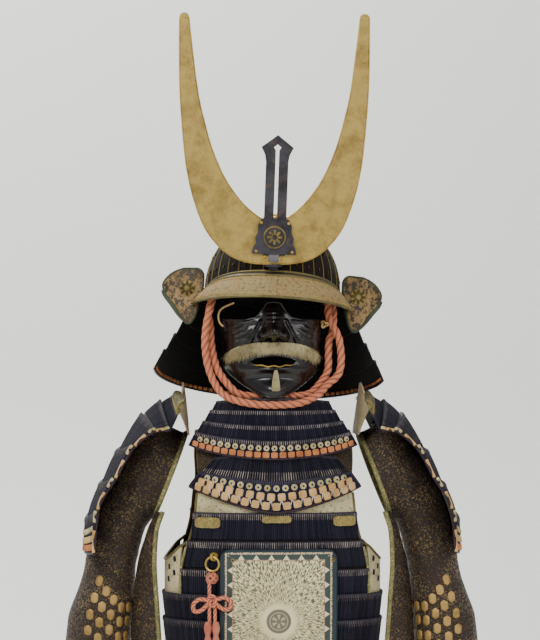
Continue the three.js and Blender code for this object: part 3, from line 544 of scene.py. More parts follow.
def curve_through(points, steps, closed=False):
    """Points of a smooth curve through the given ones, with steps pieces between each two."""
    points = [Vector(p) for p in points]
    count = len(points)
    made = []
    for i in range(count if closed else count - 1):
        if closed:
            a, b, c, d = (points[(i + k) % count] for k in (-1, 0, 1, 2))
        else:
            a, b, c, d = (points[min(max(i + k, 0), count - 1)] for k in (-1, 0, 1, 2))
        for step in range(steps):
            t = step / steps
            square = (2 * a - 5 * b + 4 * c - d) * t**2
            cube = (3 * b - a - 3 * c + d) * t**3
            made.append(0.5 * (2 * b + (c - a) * t + square + cube))
    if not closed:
        made.append(points[-1])
    return made


# Pieces
def piece(name, corners, faces, finishes, plans, kinds=None, sharp=40,
          nodes=(), slot="", body="armour", place=WORLD):
    """A mesh object from points in millimetres. plans gives each face's corners on the two flat plans.

    The slot argument, or else the usual slot of its first finish, is worked out but not given to the piece.
    """
    mesh = bpy.data.meshes.new(name)
    mesh.from_pydata([(place @ Vector(p)) * MM for p in corners], [], faces)
    for key in finishes:
        mesh.materials.append(FINISHES[key])
    if kinds:
        mesh.polygons.foreach_set("material_index", kinds)
    for layer, plan in zip(("cm", "share"), plans):
        flat = mesh.uv_layers.new(name=layer)
        flat.data.foreach_set("uv", [n for face in plan for corner in face for n in corner])
    work = bmesh.new()
    work.from_mesh(mesh)
    bmesh.ops.recalc_face_normals(work, faces=work.faces)
    work.to_mesh(mesh)
    work.free()
    mesh.shade_smooth()
    mesh.set_sharp_from_angle(angle=radians(sharp))
    made = bpy.data.objects.new(name, mesh)
    bpy.context.collection.objects.link(made)
    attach(made, body)
    if nodes:
        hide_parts(*nodes)
    slot or SLOT_OF[finishes[0]]
    return made


def cell(k, i):
    """The four corners of a cell in a grid of rows and columns."""
    return (k, i), (k, i + 1), (k + 1, i + 1), (k + 1, i)


def lengths(points):
    """Distance along a row of points, in centimetres."""
    total = [0.0]
    for a, b in zip(points, points[1:]):
        total.append(total[-1] + (b - a).length / 10)
    return total


def shell(name, point, us, vs, finishes, thick=LAME, ring=False,
          skip=None, plan=None, share=None, true=False, **rest):
    """A closed wall over point(u, v, off), whose outer face is at off = thick and whose inner is at 0.

    us and vs are the places of its columns and rows, or how many steps there are from 0 to 1.
    true measures every row and column of the cm plan by itself, where a pattern must keep its scale.
    """
    us, vs = (spread(0, 1, places) if isinstance(places, int) else places for places in (us, vs))
    columns = len(us) - 1 if ring else len(us)
    outer = [[Vector(point(u, v, thick)) for u in us] for v in vs]
    inner = [[Vector(point(u, v, 0)) for u in us] for v in vs]
    across = lengths(outer[len(vs) // 2])
    down = lengths([row[len(us) // 2] for row in outer])
    rows = [lengths(row) for row in outer] if true else None
    lines = [lengths([row[i] for row in outer]) for i in range(len(us))] if true else None
    corners = [row[i] for face in (outer, inner) for row in face for i in range(columns)]
    faces, cm, shares, kinds = [], [], [], []

    def at(face, i, j):
        return face * columns * len(vs) + j * columns + i % columns

    def add(corner_list, kind):
        faces.append([at(*c) for c in corner_list])
        cm.append([flat_place(i, j) for _, i, j in corner_list])
        shares.append([share(us[i], vs[j]) if share else (us[i], vs[j]) for _, i, j in corner_list])
        kinds.append(min(kind, len(finishes) - 1))

    def flat_place(i, j):
        if plan:
            return plan(us[i], vs[j])
        return (rows[j][i], lines[i][j]) if true else (across[i], down[j])

    def open_at(i, j):
        return skip is not None and 0 <= i < len(us) - 1 and 0 <= j < len(vs) - 1 and skip(i, j)

    for j in range(len(vs) - 1):
        for i in range(len(us) - 1):
            if open_at(i, j):
                for a, b, near in (
                    ((i, j), (i + 1, j), (i, j - 1)),
                    ((i, j + 1), (i + 1, j + 1), (i, j + 1)),
                    ((i, j), (i, j + 1), (i - 1, j)),
                    ((i + 1, j), (i + 1, j + 1), (i + 1, j)),
                ):
                    if not open_at(*near):
                        add([(0, *a), (1, *a), (1, *b), (0, *b)], 0)
                continue
            add([(0, i, j), (0, i + 1, j), (0, i + 1, j + 1), (0, i, j + 1)], 0)
            add([(1, i, j), (1, i, j + 1), (1, i + 1, j + 1), (1, i + 1, j)], 1)
    last, end = len(vs) - 1, columns - 1
    for i in range(len(us) - 1):
        add([(0, i, 0), (1, i, 0), (1, i + 1, 0), (0, i + 1, 0)], 0)
        add([(0, i, last), (0, i + 1, last), (1, i + 1, last), (1, i, last)], 0)
    if not ring:
        for j in range(last):
            add([(0, 0, j), (0, 0, j + 1), (1, 0, j + 1), (1, 0, j)], 0)
            add([(0, end, j), (1, end, j), (1, end, j + 1), (0, end, j + 1)], 0)
    return piece(name, corners, faces, finishes, (cm, shares), kinds, **rest)


def tube(name, points, radius, finish, sides=8, ring=False, twist=0.0, lobes=0, depth=0.0, **rest):
    """A round or lobed cord along points in millimetres. radius may be a function of the share along."""
    points = [Vector(p) for p in points]
    count = len(points)
    travelled = lengths(points + points[:1] if ring else points)
    corners, faces, cm, shares = [], [], [], []
    normal = None
    for k, here in enumerate(points):
        ahead = points[(k + 1) % count] if ring else points[min(k + 1, count - 1)]
        behind = points[k - 1] if ring else points[max(k - 1, 0)]
        heading = (ahead - behind).normalized()
        if normal is None:
            normal = heading.orthogonal().normalized()
        normal = (normal - heading * normal.dot(heading)).normalized()
        beside = heading.cross(normal)
        size = radius(k / (count - 1)) if callable(radius) else radius
        for i in range(sides):
            turn = 2 * pi * i / sides
            swell = 1.0
            if lobes:
                swell = 1 - depth + depth * abs(cos(lobes / 2 * (turn - twist * travelled[k])))
            corners.append(here + (normal * cos(turn) + beside * sin(turn)) * size * swell)
    girth = 2 * pi * (radius(0.5) if callable(radius) else radius) / 10
    for k in range(count if ring else count - 1):
        for i in range(sides):
            near = cell(k, i)
            faces.append([(a % count) * sides + b % sides for a, b in near])
            cm.append([(girth * b / sides, travelled[a]) for a, b in near])
            shares.append([(b / sides, a / count) for a, b in near])
    if not ring:
        for k in (0, count - 1):
            faces.append([k * sides + i for i in range(sides)])
            cm.append([(0, travelled[k])] * sides)
            shares.append([(0, 0)] * sides)
    return piece(name, corners, faces, [finish], (cm, shares), sharp=60, **rest)


def surface_frame(point, u, v, off, nudge=0.004):
    """A place on a surface with its directions across, down and out."""
    here = Vector(point(u, v, off))
    across = (Vector(point(u + nudge, v, off)) - Vector(point(u - nudge, v, off))).normalized()
    down = (Vector(point(u, v + nudge, off)) - Vector(point(u, v - nudge, off))).normalized()
    out = (Vector(point(u, v, off + 1)) - here).normalized()
    out = (out - across * out.dot(across)).normalized()
    down = out.cross(across) * (1 if out.cross(across).dot(down) > 0 else -1)
    return here, across, down, out


def petals_round(seat, reach, lift):
    """Eight places round a place, each facing outwards from it."""
    here, across, down, out = seat
    petals = []
    for k in range(8):
        turn = pi * k / 4
        heading = across * cos(turn) + down * sin(turn)
        beside = down * cos(turn) - across * sin(turn)
        petals.append((here + heading * reach + out * lift, heading, beside, out))
    return petals


def outline(form, turn):
    """How far a pad's edge is from its middle at a turn, as a share of its half width."""
    x, y = abs(cos(turn)), abs(sin(turn))
    if form == "square":
        return min(1 / max(x, y), 1.22)
    if form == "rosette":
        return 1 + 0.1 * cos(8 * turn)
    if form == "hexagon":
        return 1 / max(x, y * 0.95 + x * 0.42)
    return 1.0


def pads(name, frames, size, high, form, finish, tall=None, boss=0.0, **rest):
    """Many small raised pads, each on a place of a surface, joined in one mesh."""
    sides = 16
    tall = tall or size
    rings = [(1.0, -0.6), (1.0, 0.35), (0.84, 0.85), (0.45, 1.0 if not boss else 0.75)]
    if boss:
        rings += [(0.3, 0.8 + boss), (0.14, 1.0 + boss)]
    corners, faces, cm = [], [], []
    for here, across, down, out in frames:
        start = len(corners)
        flat = []
        for share, lift in rings:
            for i in range(sides):
                turn = 2 * pi * (i + 0.5) / sides
                reach = outline(form, turn) * share / 2
                x, y = cos(turn) * reach * size, sin(turn) * reach * tall
                corners.append(here + across * x + down * y + out * (high * lift))
                flat.append((x / 10, y / 10))
        for k in range(len(rings) - 1):
            for i in range(sides):
                near = [a * sides + b % sides for a, b in cell(k, i)]
                faces.append([start + n for n in near])
                cm.append([flat[n] for n in near])
        for k in (0, len(rings) - 1):
            near = [k * sides + i for i in range(sides)]
            faces.append([start + n for n in near])
            cm.append([flat[n] for n in near])
    return piece(name, corners, faces, [finish], (cm, cm), **rest)


def row_of(point, v, off, pitch, ends):
    """Places along a surface at one height, a pitch in millimetres apart."""
    us = spread(ends[0], ends[1], 240)
    run = lengths([Vector(point(u, v, off)) for u in us])
    count = max(1, round(run[-1] * 10 / pitch))
    found = []
    for k in range(count):
        wanted = run[-1] * (k + 0.5) / count
        i = min(max(bisect_right(run, wanted), 1), len(run) - 1)
        share = (wanted - run[i - 1]) / (run[i] - run[i - 1])
        found.append(surface_frame(point, mix(us[i - 1], us[i], share), v, off))
    return found


LAME_SHARES = (0, 0.015, 0.05, 0.1, 0.15, 0.22, 0.4, 0.6, 0.8, 0.93, 0.95, 0.985, 1)


def lame_profile(share):
    """How far the laced face stands over its lame: a roll over the top edge and a thin bare lower edge."""
    roll = 1.1 * bump(share - 0.075, 0.055)
    belly = 0.35 * sin(pi * min(1, share / 0.93))
    return roll + belly - (0.9 if share > 0.94 else 0) - (0.5 if share in (0, 1) else 0)


def laced_lame(name, surface, start, end, columns, stand_off=STEP, finish="navy", low=0.0, **rest):
    """One lame; surface(s, t, off) is its form, and the lame's top edge stands out."""

    def point(s, share, off):
        lift = mix(stand_off, low, share) + (off + lame_profile(share) if off > 0 else 0)
        return surface(s, mix(start, end, share), lift)

    return shell(name, point, columns, LAME_SHARES, [finish, "inside"], **rest)


def laced_panel(name, surface, edges, columns, nodes, finish="navy", lead=(), **rest):
    """Several lames in one wall, stepped where each laps the one above; lead has the rows above the first."""
    rows = [(at, off, 0.5) for at, off in lead]
    count = len(edges) - 1
    for k in range(count):
        for share in LAME_SHARES:
            at = mix(edges[k], edges[k + 1], share) - (1.5 if k and share == 0 else 0)
            rows.append((at, mix(STEP, 0, share), k + min(share, 0.999)))
    rows_lift = {i: lame_profile(rows[i][2] % 1.0) for i in range(len(lead), len(rows))}

    def point(s, i, off):
        at, lift, _ = rows[i]
        return surface(s, at, lift + (off + rows_lift.get(i, 0) if off > 0 else 0))

    share = lambda u, i: (u, rows[i][2])
    return shell(name, point, columns, range(len(rows)), [finish, "inside"], share=share, nodes=nodes, **rest)


# Helmet
BOWL = {"wide": 110, "long": 122, "high": 121, "wall": 2.5, "hole": radians(83), "plates": 32}


def bowl_point(turn, climb, off):
    return (
        (BOWL["wide"] + off) * cos(climb) * sin(turn),
        -(BOWL["long"] + off) * cos(climb) * cos(turn),
        (BOWL["high"] + off) * sin(climb),
    )


def make_bowl():
    def point(plate, climb, off):
        near = abs((plate % 1.0) - 0.5) * 2
        ridge = 2.0 * smooth(near, 0.86, 1.0) if off > 0 else 0
        belly = 0.8 * (1 - near**2) if off > 0 else 0
        fade = 1 - smooth(climb / BOWL["hole"], 0.8, 1.0)
        return bowl_point(plate / BOWL["plates"] * 2 * pi, climb, off - BOWL["wall"] + (ridge + belly) * fade)

    us = [k + share for k in range(BOWL["plates"]) for share in (0, 0.04, 0.09, 0.2, 0.5, 0.8, 0.91, 0.96)]
    us.append(BOWL["plates"])
    vs = spread(0, BOWL["hole"], 26)
    shell("helmet_bowl_plates", point, us, vs, ["bowl", "black"], BOWL["wall"], True, nodes=["helmet_bowl"],
          place=HELMET)
    rivets = []
    for k in range(BOWL["plates"]):
        for climb in (0.16, 0.42):
            turn = (k + 0.5) / BOWL["plates"] * 2 * pi
            rivets.append(surface_frame(bowl_point, turn, climb, 0.9))
    pads("bowl_rivets", rivets, 4.2, 1.5, "round", "bowl", place=HELMET)


GROMMET = (
    (13, 0), (26, -3), (27, -1.5), (25.5, 1), (21, 1.6), (19.5, 2.6), (19.8, 4.5), (18, 6.2), (15, 6.6),
    (14, 8), (12.6, 8), (12.2, 6),
)


def make_crown_grommet():
    """The turned rings round the crown hole; the wide ones have sixteen petals."""
    sides = 96
    centre = Vector((0, 0, BOWL["high"] + 0.5))
    corners, faces, cm = [], [], []
    for radius, height in GROMMET:
        for i in range(sides):
            turn = 2 * pi * i / sides
            reach = radius * (1 + (0.035 * cos(16 * turn) if radius > 18 else 0))
            corners.append(centre + Vector((reach * cos(turn), reach * sin(turn), height)))
    for k in range(len(GROMMET)):
        for i in range(sides):
            faces.append([(a % len(GROMMET)) * sides + b % sides for a, b in cell(k, i)])
            cm.append([(b * 0.1, a * 0.3) for a, b in cell(k, i)])
    piece("crown_grommet", corners, faces, ["gold"], (cm, cm), nodes=["crown_ornament"], place=HELMET)


VISOR = {"span": 84, "wide": 131, "long": 139, "drop": 41, "end_drop": 30, "rise": 6, "end_top": -21}


def visor_point(s, t, off):
    turn = radians(s * VISOR["span"])
    top = VISOR["rise"] + (VISOR["end_top"] - VISOR["rise"]) * abs(s) ** 5
    bottom = -VISOR["drop"] + (VISOR["drop"] - VISOR["end_drop"]) * s * s
    flare = sin(max(0.0, t) * pi / 2) ** 1.1
    x = mix(BOWL["wide"] + 0.9, VISOR["wide"], flare) + off
    y = mix(BOWL["long"] + 0.9, VISOR["long"], flare) + off
    return (x * sin(turn), -y * cos(turn), mix(top, bottom, t))


def make_visor():
    shell("visor_leather", visor_point, spread(-1, 1, 96), spread(0.19, 1, 14), ["speckled", "black"],
          nodes=["helmet_visor"], place=HELMET)
    shell("visor_head", lambda s, t, off: visor_point(s, t, off * 0.7), spread(-1, 1, 96),
          spread(0, 0.185, 4), ["bowl_band", "black"], place=HELMET)
    border = [visor_point(s, 1, 1.2) for s in spread(-1, 1, 80)]
    top = [visor_point(s, 0.19, 1.6) for s in spread(0.99, -0.99, 80)]
    left = [visor_point(-1, t, 1.2) for t in spread(0.25, 0.9, 8)]
    right = [visor_point(1, t, 1.2) for t in spread(0.9, 0.25, 8)]
    tube("visor_rim", border + right + top + left, 2.3, "olive_rim", ring=True, place=HELMET)
    head = [visor_point(s, 0.03, 1.8) for s in spread(-1, 1, 80)]
    tube("visor_top_rim", head, 1.9, "olive_rim", place=HELMET)
    for k, t in enumerate((0.3, 0.88)):
        stitches = row_of(visor_point_shifted, t, 2.7, 4.4, (0.02, 0.98))
        pads(f"visor_stitches_{k + 1}", stitches, 2.4, 0.9, "round", "gold", place=HELMET, tall=1.4)


def visor_point_shifted(u, v, off):
    return visor_point(2 * u - 1, v, off)


NECK = {"count": 5, "from": 92, "wide": 187, "long": 196, "top": 2, "bottom": -137}


def neck_point(s, t, off):
    turn = radians(mix(NECK["from"], 360 - NECK["from"], s))
    flare = max(0.0, t) ** 1.1
    x = mix(BOWL["wide"] + 0.9, NECK["wide"], flare) + off
    y = mix(BOWL["long"] + 0.9, NECK["long"], flare) + off
    return (x * sin(turn), -y * cos(turn), mix(NECK["top"], NECK["bottom"], t))


def make_neck_guard():
    for k in range(NECK["count"]):
        start = 0 if k == 0 else (k - 0.2) / NECK["count"]
        end = (k + 1) / NECK["count"]
        name = f"neck_lame_{k + 1}"
        laced_lame(f"{name}_laced", neck_point, start, end, 110, 0.4 if k == 0 else STEP, nodes=[name],
                   place=HELMET)
    tufts = row_of(neck_point, 0.965, LAME + 0.5, 11, (0.01, 0.99))
    pads("neck_orange_row", tufts, 8.5, 1.6, "square", "orange", place=HELMET, tall=5)
    inner = row_of(neck_point, 0.975, -0.3, 11, (0.01, 0.99))
    inner = [(here, across, down, -out) for here, across, down, out in inner]
    pads("neck_orange_row_inside", inner, 8, 1.4, "square", "orange", place=HELMET, tall=5)
    rim = [neck_point(s, 1.0, 1.3) for s in spread(0.002, 0.998, 160)]
    tube("neck_rim", rim, 1.9, "black", place=HELMET)


# Height, inner x, outer x
TURNBACK = (
    (-62, 133, 139), (-52, 127, 148), (-30, 121, 162), (-8, 117, 177), (4, 115, 180), (18, 115, 172),
    (26, 118, 160), (30, 124, 148),
)


def turnback_point(side, s, t, off):
    z = mix(TURNBACK[0][0], TURNBACK[-1][0], t)
    x = mix(along(TURNBACK, z, 1), along(TURNBACK, z, 2), s)
    curl = ((x - 110) / 70) ** 2
    return (side * x, -13.3 + 20 * curl + 3 - off, z)


def make_turnbacks():
    for name, side in SIDES:
        point = partial(turnback_point, side)
        shell(f"turnback_leather_{name}", point, 20, 30, ["mottled", "black"], 3,
              nodes=[f"turnback_{name}"], place=HELMET)
        edge = [(1, t) for t in spread(0, 1, 30)] + [(s, 1) for s in spread(0.9, 0.1, 8)]
        edge += [(0, t) for t in spread(1, 0, 30)] + [(s, 0) for s in spread(0.25, 0.75, 3)]
        edge = [point(s, t, 1.5) for s, t in edge]
        tube(f"turnback_rim_{name}", edge, 2.2, "green", ring=True, place=HELMET)
        low = [point(1.04, t, 1.2) for t in spread(0.0, 0.62, 20)]
        tube(f"turnback_lip_{name}", low, lambda t: 1.6 + 2.6 * sin(pi * min(1, t * 0.9)), "green", 10,
             place=HELMET)
        seat = [surface_frame(point, 0.4, 0.64, 3.0)]
        pads(f"turnback_rosette_{name}", seat, 27, 1.4, "rosette", "old_gold", place=HELMET, boss=0.7)
        pads(f"turnback_petals_{name}", petals_round(seat[0], 8.5, 1.2), 9, 1.2, "round", "dark_gold",
             place=HELMET, tall=5)


# Crest
CRESCENT_OUTER = (
    (154, 396), (154, 335), (152.5, 270), (146, 190), (140, 146), (130, 104), (112, 58), (88, 27), (62, 9),
    (34, 1.5), (0, 0),
)
CRESCENT_INNER = (
    (0, 66), (20, 74), (49, 98), (78, 138), (99, 186), (111, 228), (121, 270), (130, 335), (137, 396),
)


def finish_node(name, key):
    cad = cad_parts[name]
    cad.material_slots[0].material = FINISHES[key]


def facing(x, y, z):
    """A place on an upright face that looks ahead, with its directions across, down and out."""
    return Vector((x, y, z)), Vector((1, 0, 0)), Vector((0, 0, 1)), Vector((0, -1, 0))


def make_crest():
    finish_node("crest_moon", "crest")
    for name in ("crest_prong", "crest_plate", "crest_socket"):
        finish_node(name, "iron")
    rim_y = -1.0
    outer = curve_through([(x, rim_y, z) for x, z in CRESCENT_OUTER], 6)
    inner = curve_through([(x, rim_y, z) for x, z in CRESCENT_INNER], 6)
    right = [p + Vector((-1.2, 0, 0)) for p in outer[:-1]] + [Vector((0, rim_y, 1.2))]
    left = [Vector((-p.x, p.y, p.z)) for p in reversed(right[:-1])]
    inside = [p + Vector((1.2, 0, 0)) for p in inner[1:]]
    inside_left = [Vector((-p.x, p.y, p.z)) for p in inside]
    path = right + left + list(reversed(inside_left)) + [Vector((0, rim_y, 64.8))] + inside
    tube("crest_rim", path, 1.15, "gold", 6, True, body="crest", place=CREST)
    on_blade = {"body": "crest", "place": BLADE}
    blade_y = -7.6
    seat = facing(0, blade_y, 43)
    pads("crest_roundel", [seat], 40, 1.6, "round", "iron", **on_blade)
    ring = [seat[0] + Vector((17 * cos(a), -1.9, 17 * sin(a))) for a in round_turn(48)]
    tube("crest_roundel_ring", ring, 1.3, "old_gold", ring=True, **on_blade)
    pads("crest_petals", petals_round(seat, 8, 1.8), 9, 1.0, "round", "old_gold", tall=5, **on_blade)
    pads("crest_blade_foot", [facing(0, -3.2, 13)], 17, 2.4, "square", "steel", tall=20, **on_blade)
    for k, (x, lift) in enumerate(((-13, 1), (13, -1))):
        curl = []
        for a in spread(0.4, 6.8, 26):
            close = 1 - a / 12
            curl.append((x + 5.5 * cos(a) * close, -3.4, 8 + 4.5 * sin(a) * lift * close))
        tube(f"crest_scroll_{k + 1}", curl, 1.3, "gold", **on_blade)
    rivets = [facing(x, blade_y, z) for x, z in ((-29, 20), (29, 20), (-22, 66), (22, 66))]
    pads("crest_rivets", rivets, 5, 1.6, "rosette", "gold", **on_blade)


# Mask
MASK = {"x": -3, "y": -30, "span": 78, "wall": 2.5, "half": 85}
# Height, half width, depth
FACE = ((52, 50, 95), (63, 58, 94), (79, 70, 91), (105, 82, 88), (140, 86, 87), (178, 88, 86), (207, 86, 84))
# Share to the side, height of the upper edge, height of the lower edge
FACE_EDGE = (
    (0, 207, 52), (0.08, 206, 52.5), (0.16, 194, 54), (0.25, 182, 56), (0.45, 178, 64), (0.7, 178, 81),
    (1, 176, 104),
)
# x, z, width, height, rise
SWELLINGS = (
    (-18, 153, 7, 9, 10), (18, 153, 7, 9, 10), (0, 158, 10, 10, 8), (0, 163, 7, 7, 3),
    (-46, 158, 24, 22, 7), (46, 158, 24, 22, 7), (0, 128, 42, 10, 6), (0, 97, 42, 8, 6), (0, 66, 24, 15, 8),
    (0, 83, 50, 8, -5), (-8, 146, 3.6, 3.2, -7), (8, 146, 3.6, 3.2, -7), (0, 100, 34, 3, 3.4),
    (0, 92, 26, 4, -2.4), (-44, 176, 20, 3, 3.2), (44, 176, 20, 3, 3.2), (0, 122, 36, 3.5, 1.8),
    (-30, 186, 16, 8, 2.5), (30, 186, 16, 8, 2.5),
)
# Folds from one x, z to another, then rise and width
FOLDS = ((21, 176, 38, 143, 5.0, 2.6), (38, 143, 46, 112, 3.0, 4), (42, 176, 66, 158, 1.6, 2),
         (30, 150, 62, 146, 1.2, 2))
MOUTH = {"z": 111, "half": 38, "open": 7.5}


def fold_rise(x, z):
    rise = 0.0
    for x1, z1, x2, z2, high, wide in FOLDS:
        span = Vector((x2 - x1, z2 - z1))
        share = min(1.0, max(0.0, Vector((abs(x) - x1, z - z1)).dot(span) / span.length_squared))
        gap = (Vector((abs(x) - x1, z - z1)) - span * share).length
        rise += high * bump(gap, wide)
    return rise


def face_relief(x, z):
    bridge = mix(1, 0.3, (z - 156) / 51) if z > 156 else max(0.0, 1 - (156 - z) / 16)
    nose = 27 * bump(x, mix(15, 11, min(1.0, max(0.0, (z - 150) / 50)))) * smooth(bridge, -0.1, 1.0)
    wrinkle = 1.7 * sin((z + 0.45 * abs(x)) * 2 * pi / 8.5)
    wrinkle = wrinkle * bump(abs(x) - 54, 11) * bump(z - 160, 12)
    across_nose = 0.8 * sin(z * 2 * pi / 7) * bump(x, 13) * bump(z - 186, 12)
    rise = nose + wrinkle + across_nose + fold_rise(x, z)
    for sx, sz, wide, high, much in SWELLINGS:
        rise += much * bump(x - sx, wide) * bump(z - sz, high)
    return rise


def face_point(s, z, off):
    turn = radians(s * MASK["span"])
    half = along(FACE, z, 1) + off
    deep = along(FACE, z, 2) + off
    x = half * sin(turn)
    y = -deep * cos(turn) ** 0.9 - face_relief(x, z) * min(1.0, 1.4 * cos(turn))
    return (MASK["x"] + x, MASK["y"] + y, z)


def mouth_edge(s, above):
    x = MASK["half"] * sin(radians(s * MASK["span"]))
    half = MOUTH["open"] * sqrt(max(0.0, 1 - (x / MOUTH["half"]) ** 2))
    wave = 0.9 * cos(x / 3.2) if not above and half > 1 else 0
    return MOUTH["z"] + (half + 0.1 if above else -half - 0.1) + wave


def make_mask():
    upper, middle, lower = 60, 2, 40  # rows of the face above, in and below the mouth

    def point(s, v, off):
        top, bottom = along(FACE_EDGE, abs(s), 1), along(FACE_EDGE, abs(s), 2)
        if v <= 1:
            z = mix(top, mouth_edge(s, True), v)
        elif v <= 2:
            z = mix(mouth_edge(s, True), mouth_edge(s, False), v - 1)
        else:
            z = mix(mouth_edge(s, False), bottom, v - 2)
        return face_point(s, z, off - MASK["wall"])

    us = spread(-1, 1, 150)
    vs = spread(0, 1, upper) + spread(1, 2, middle)[1:] + spread(2, 3, lower)[1:]

    def in_mouth(i, j):
        x = MASK["half"] * sin(radians(mix(us[i], us[i + 1], 0.5) * MASK["span"]))
        return upper <= j < upper + middle and abs(x) < MOUTH["half"] - 0.5

    shell("face_mask", point, us, vs, ["mask", "orange_lacquer"], MASK["wall"], skip=in_mouth, nodes=["mask"])
    top = [face_point(s, along(FACE_EDGE, abs(s), 1), -1.0) for s in spread(-1, 1, 120)]
    tube("mask_top_rim", top, 1.7, "mask")
    low = [face_point(s, along(FACE_EDGE, abs(s), 2), -1.0) for s in spread(-1, 1, 120)]
    tube("mask_lower_rim", low, 1.8, "mask")
    lip = [face_point(s, mouth_edge(s, False) - 0.6, 0.4) for s in spread(-0.29, 0.29, 70)]
    tube("mask_gilt_lip", lip, lambda t: 1.5 * sin(pi * min(1, max(0.04, t))) ** 0.4, "gold")
    lace = [(-66, -88, 206), (-80, -80, 200), (-88, -75, 194), (-91, -74, 184), (-89, -76, 174),
            (-84, -82, 168)]
    tube("mask_cream_cord", curve_through(lace, 6), 1.6, "cream")
    knot = []
    for a in round_turn(40):
        reach = 1 + 0.4 * cos(3 * a)
        bend = Vector((5 * cos(a) * reach, -3 - sin(2 * a) * 2, 4 * sin(a) * reach))
        knot.append(Vector((82, -75, 171)) + bend)
    tube("mask_cream_knot", knot, 1.7, "cream", ring=True)


def strand_mesh(name, lines, finish, width, **rest):
    """Many fine tapered hairs joined in one mesh."""
    corners, faces, cm = [], [], []
    for line in lines:
        start = len(corners)
        count = len(line)
        for k, here in enumerate(line):
            heading = (line[min(k + 1, count - 1)] - line[max(k - 1, 0)]).normalized()
            side = heading.orthogonal().normalized()
            over = heading.cross(side)
            size = width * (1 - 0.75 * k / (count - 1))
            for i in range(3):
                turn = 2 * pi * i / 3
                corners.append(here + (side * cos(turn) + over * sin(turn)) * size)
        for k in range(count - 1):
            for i in range(3):
                faces.append([start + a * 3 + b % 3 for a, b in cell(k, i)])
                cm.append([((start % 971) * 0.1, k * 0.2)] * 4)
        for k in (0, count - 1):
            faces.append([start + k * 3 + i for i in range(3)])
            cm.append([(0, 0)] * 3)
    return piece(name, corners, faces, [finish], (cm, cm), **rest)


def on_face(x, z, off):
    share = degrees(asin(max(-0.999, min(0.999, x / MASK["half"])))) / MASK["span"]
    return Vector(face_point(share, z, off))


def bristle(root, angle, length, lift):
    """A hair that leaves the face, bends over and comes back; angle is from straight down, outwards."""
    line = []
    for k in range(6):
        t = k / 5
        x = root[0] + sin(angle) * length * t
        z = root[1] - cos(angle) * length * t - 1.5 * t * t
        line.append(on_face(x, z, 0.6 + lift * sin(pi * (0.12 + 0.72 * t))))
    return line


def make_hair():
    chance = random.Random(7)
    lines = []
    for _ in range(2300):
        place = chance.uniform(-1, 1)
        side = 1 if place > 0 else -1
        layer = chance.uniform(0, 1)
        root = (place * 64, 142 - 11 * abs(place) ** 3 - layer * mix(9, 12, abs(place)))
        angle = side * (0.05 + 0.72 * abs(place) ** 1.5) + chance.gauss(0, 0.15)
        length = mix(13, 24, abs(place) ** 1.5) * chance.uniform(0.65, 1.15) * mix(1, 0.75, layer)
        lines.append(bristle(root, angle, length, mix(4.5, 2.4, layer) * chance.uniform(0.7, 1.25)))
    strand_mesh("moustache_hair", lines, "hair", 0.5, nodes=["moustache"])
    lines = []
    for _ in range(300):
        place = chance.uniform(-1, 1)
        root = (3.5 + place * 2.6, chance.uniform(88, 97))
        length = root[1] - chance.uniform(64, 68)
        lines.append(bristle(root, place * 0.24, length, 5 * chance.uniform(0.6, 1.2)))
    strand_mesh("chin_hair", lines, "hair", 0.5, nodes=["chin_tuft"])


# Throat guard
THROAT = {"count": 4, "top": 51.4, "bottom": -46, "end_rise": 22, "span": 55}


def throat_point(s, t, off):
    across = 2 * s - 1
    turn = radians(across * THROAT["span"])
    x = (mix(105, 165, t) + off) * sin(turn)
    y = -(mix(89.5, 115.9, t) + off) * cos(turn)
    rise = mix(-5, THROAT["end_rise"], t) * abs(across) ** 1.8
    return (MASK["x"] + x, MASK["y"] + y, mix(THROAT["top"], THROAT["bottom"], t) + rise)


def make_throat_guard():
    for k in range(THROAT["count"]):
        start = 0 if k == 0 else (k - 0.2) / THROAT["count"]
        end = (k + 1) / THROAT["count"]
        name = f"throat_lame_{k + 1}"
        laced_lame(f"{name}_laced", throat_point, start, end, 90, nodes=[name],
                   finish="navy_dashed" if k else "navy")
    seat = lambda s, t, off: throat_point(s, t, off + mix(STEP, 0, (t - 0.7) / 0.3))
    circles = row_of(seat, 0.825, LAME + 0.6, 12.8, (0.04, 0.96))
    pads("throat_gold_circles", circles, 9.6, 1.3, "rosette", "pale", boss=0.3)
    pads("throat_circle_hearts", circles, 3.4, 2.0, "round", "plum")
    squares = row_of(seat, 0.935, LAME + 0.4, 13.6, (0.02, 0.98))
    pads("throat_orange_squares", squares, 11, 1.6, "square", "orange", tall=9.5)
    edge = [throat_point(s, 1.0, 1.3) for s in spread(0.0, 1.0, 100)]
    tube("throat_binding", edge, 1.9, "plum")


# Chin cord
OUTER_STRAND = (
    (-97, -61, 232), (-102, -74, 206), (-110, -82, 174), (-113, -82, 145), (-111, -80, 118),
    (-105, -82, 93), (-95, -91, 71), (-81, -108, 55), (-58, -124.5, 46.5), (-28, -131.6, 41.5),
    (5, -133.8, 41), (39, -128.6, 44), (68, -112, 56), (86, -92, 73), (104, -82, 89), (109, -80, 112),
    (107, -80, 139), (103, -80, 154), (94, -78, 172), (88, -72, 190), (92, -60, 232),
)
INNER_STRAND = (
    (-97, -40, 226), (-106, -60, 192), (-104, -68, 169), (-102.5, -69, 141), (-98.6, -70, 118),
    (-92, -76, 97), (-79, -90, 77), (-62, -100, 60), (-42, -103, 55), (-22, -108, 57), (-3, -121, 60),
    (17, -108, 57), (38, -102, 55), (59, -94, 60), (78, -80, 79), (88, -72, 97), (89, -68, 123),
    (90, -66, 143), (96, -62, 160), (98, -52, 190), (93, -38, 226),
)


def measured(path):
    """A row of points in metres, and how long it is."""
    metres = [p * MM for p in path]
    return metres, sum((b - a).length for a, b in zip(metres, metres[1:]))


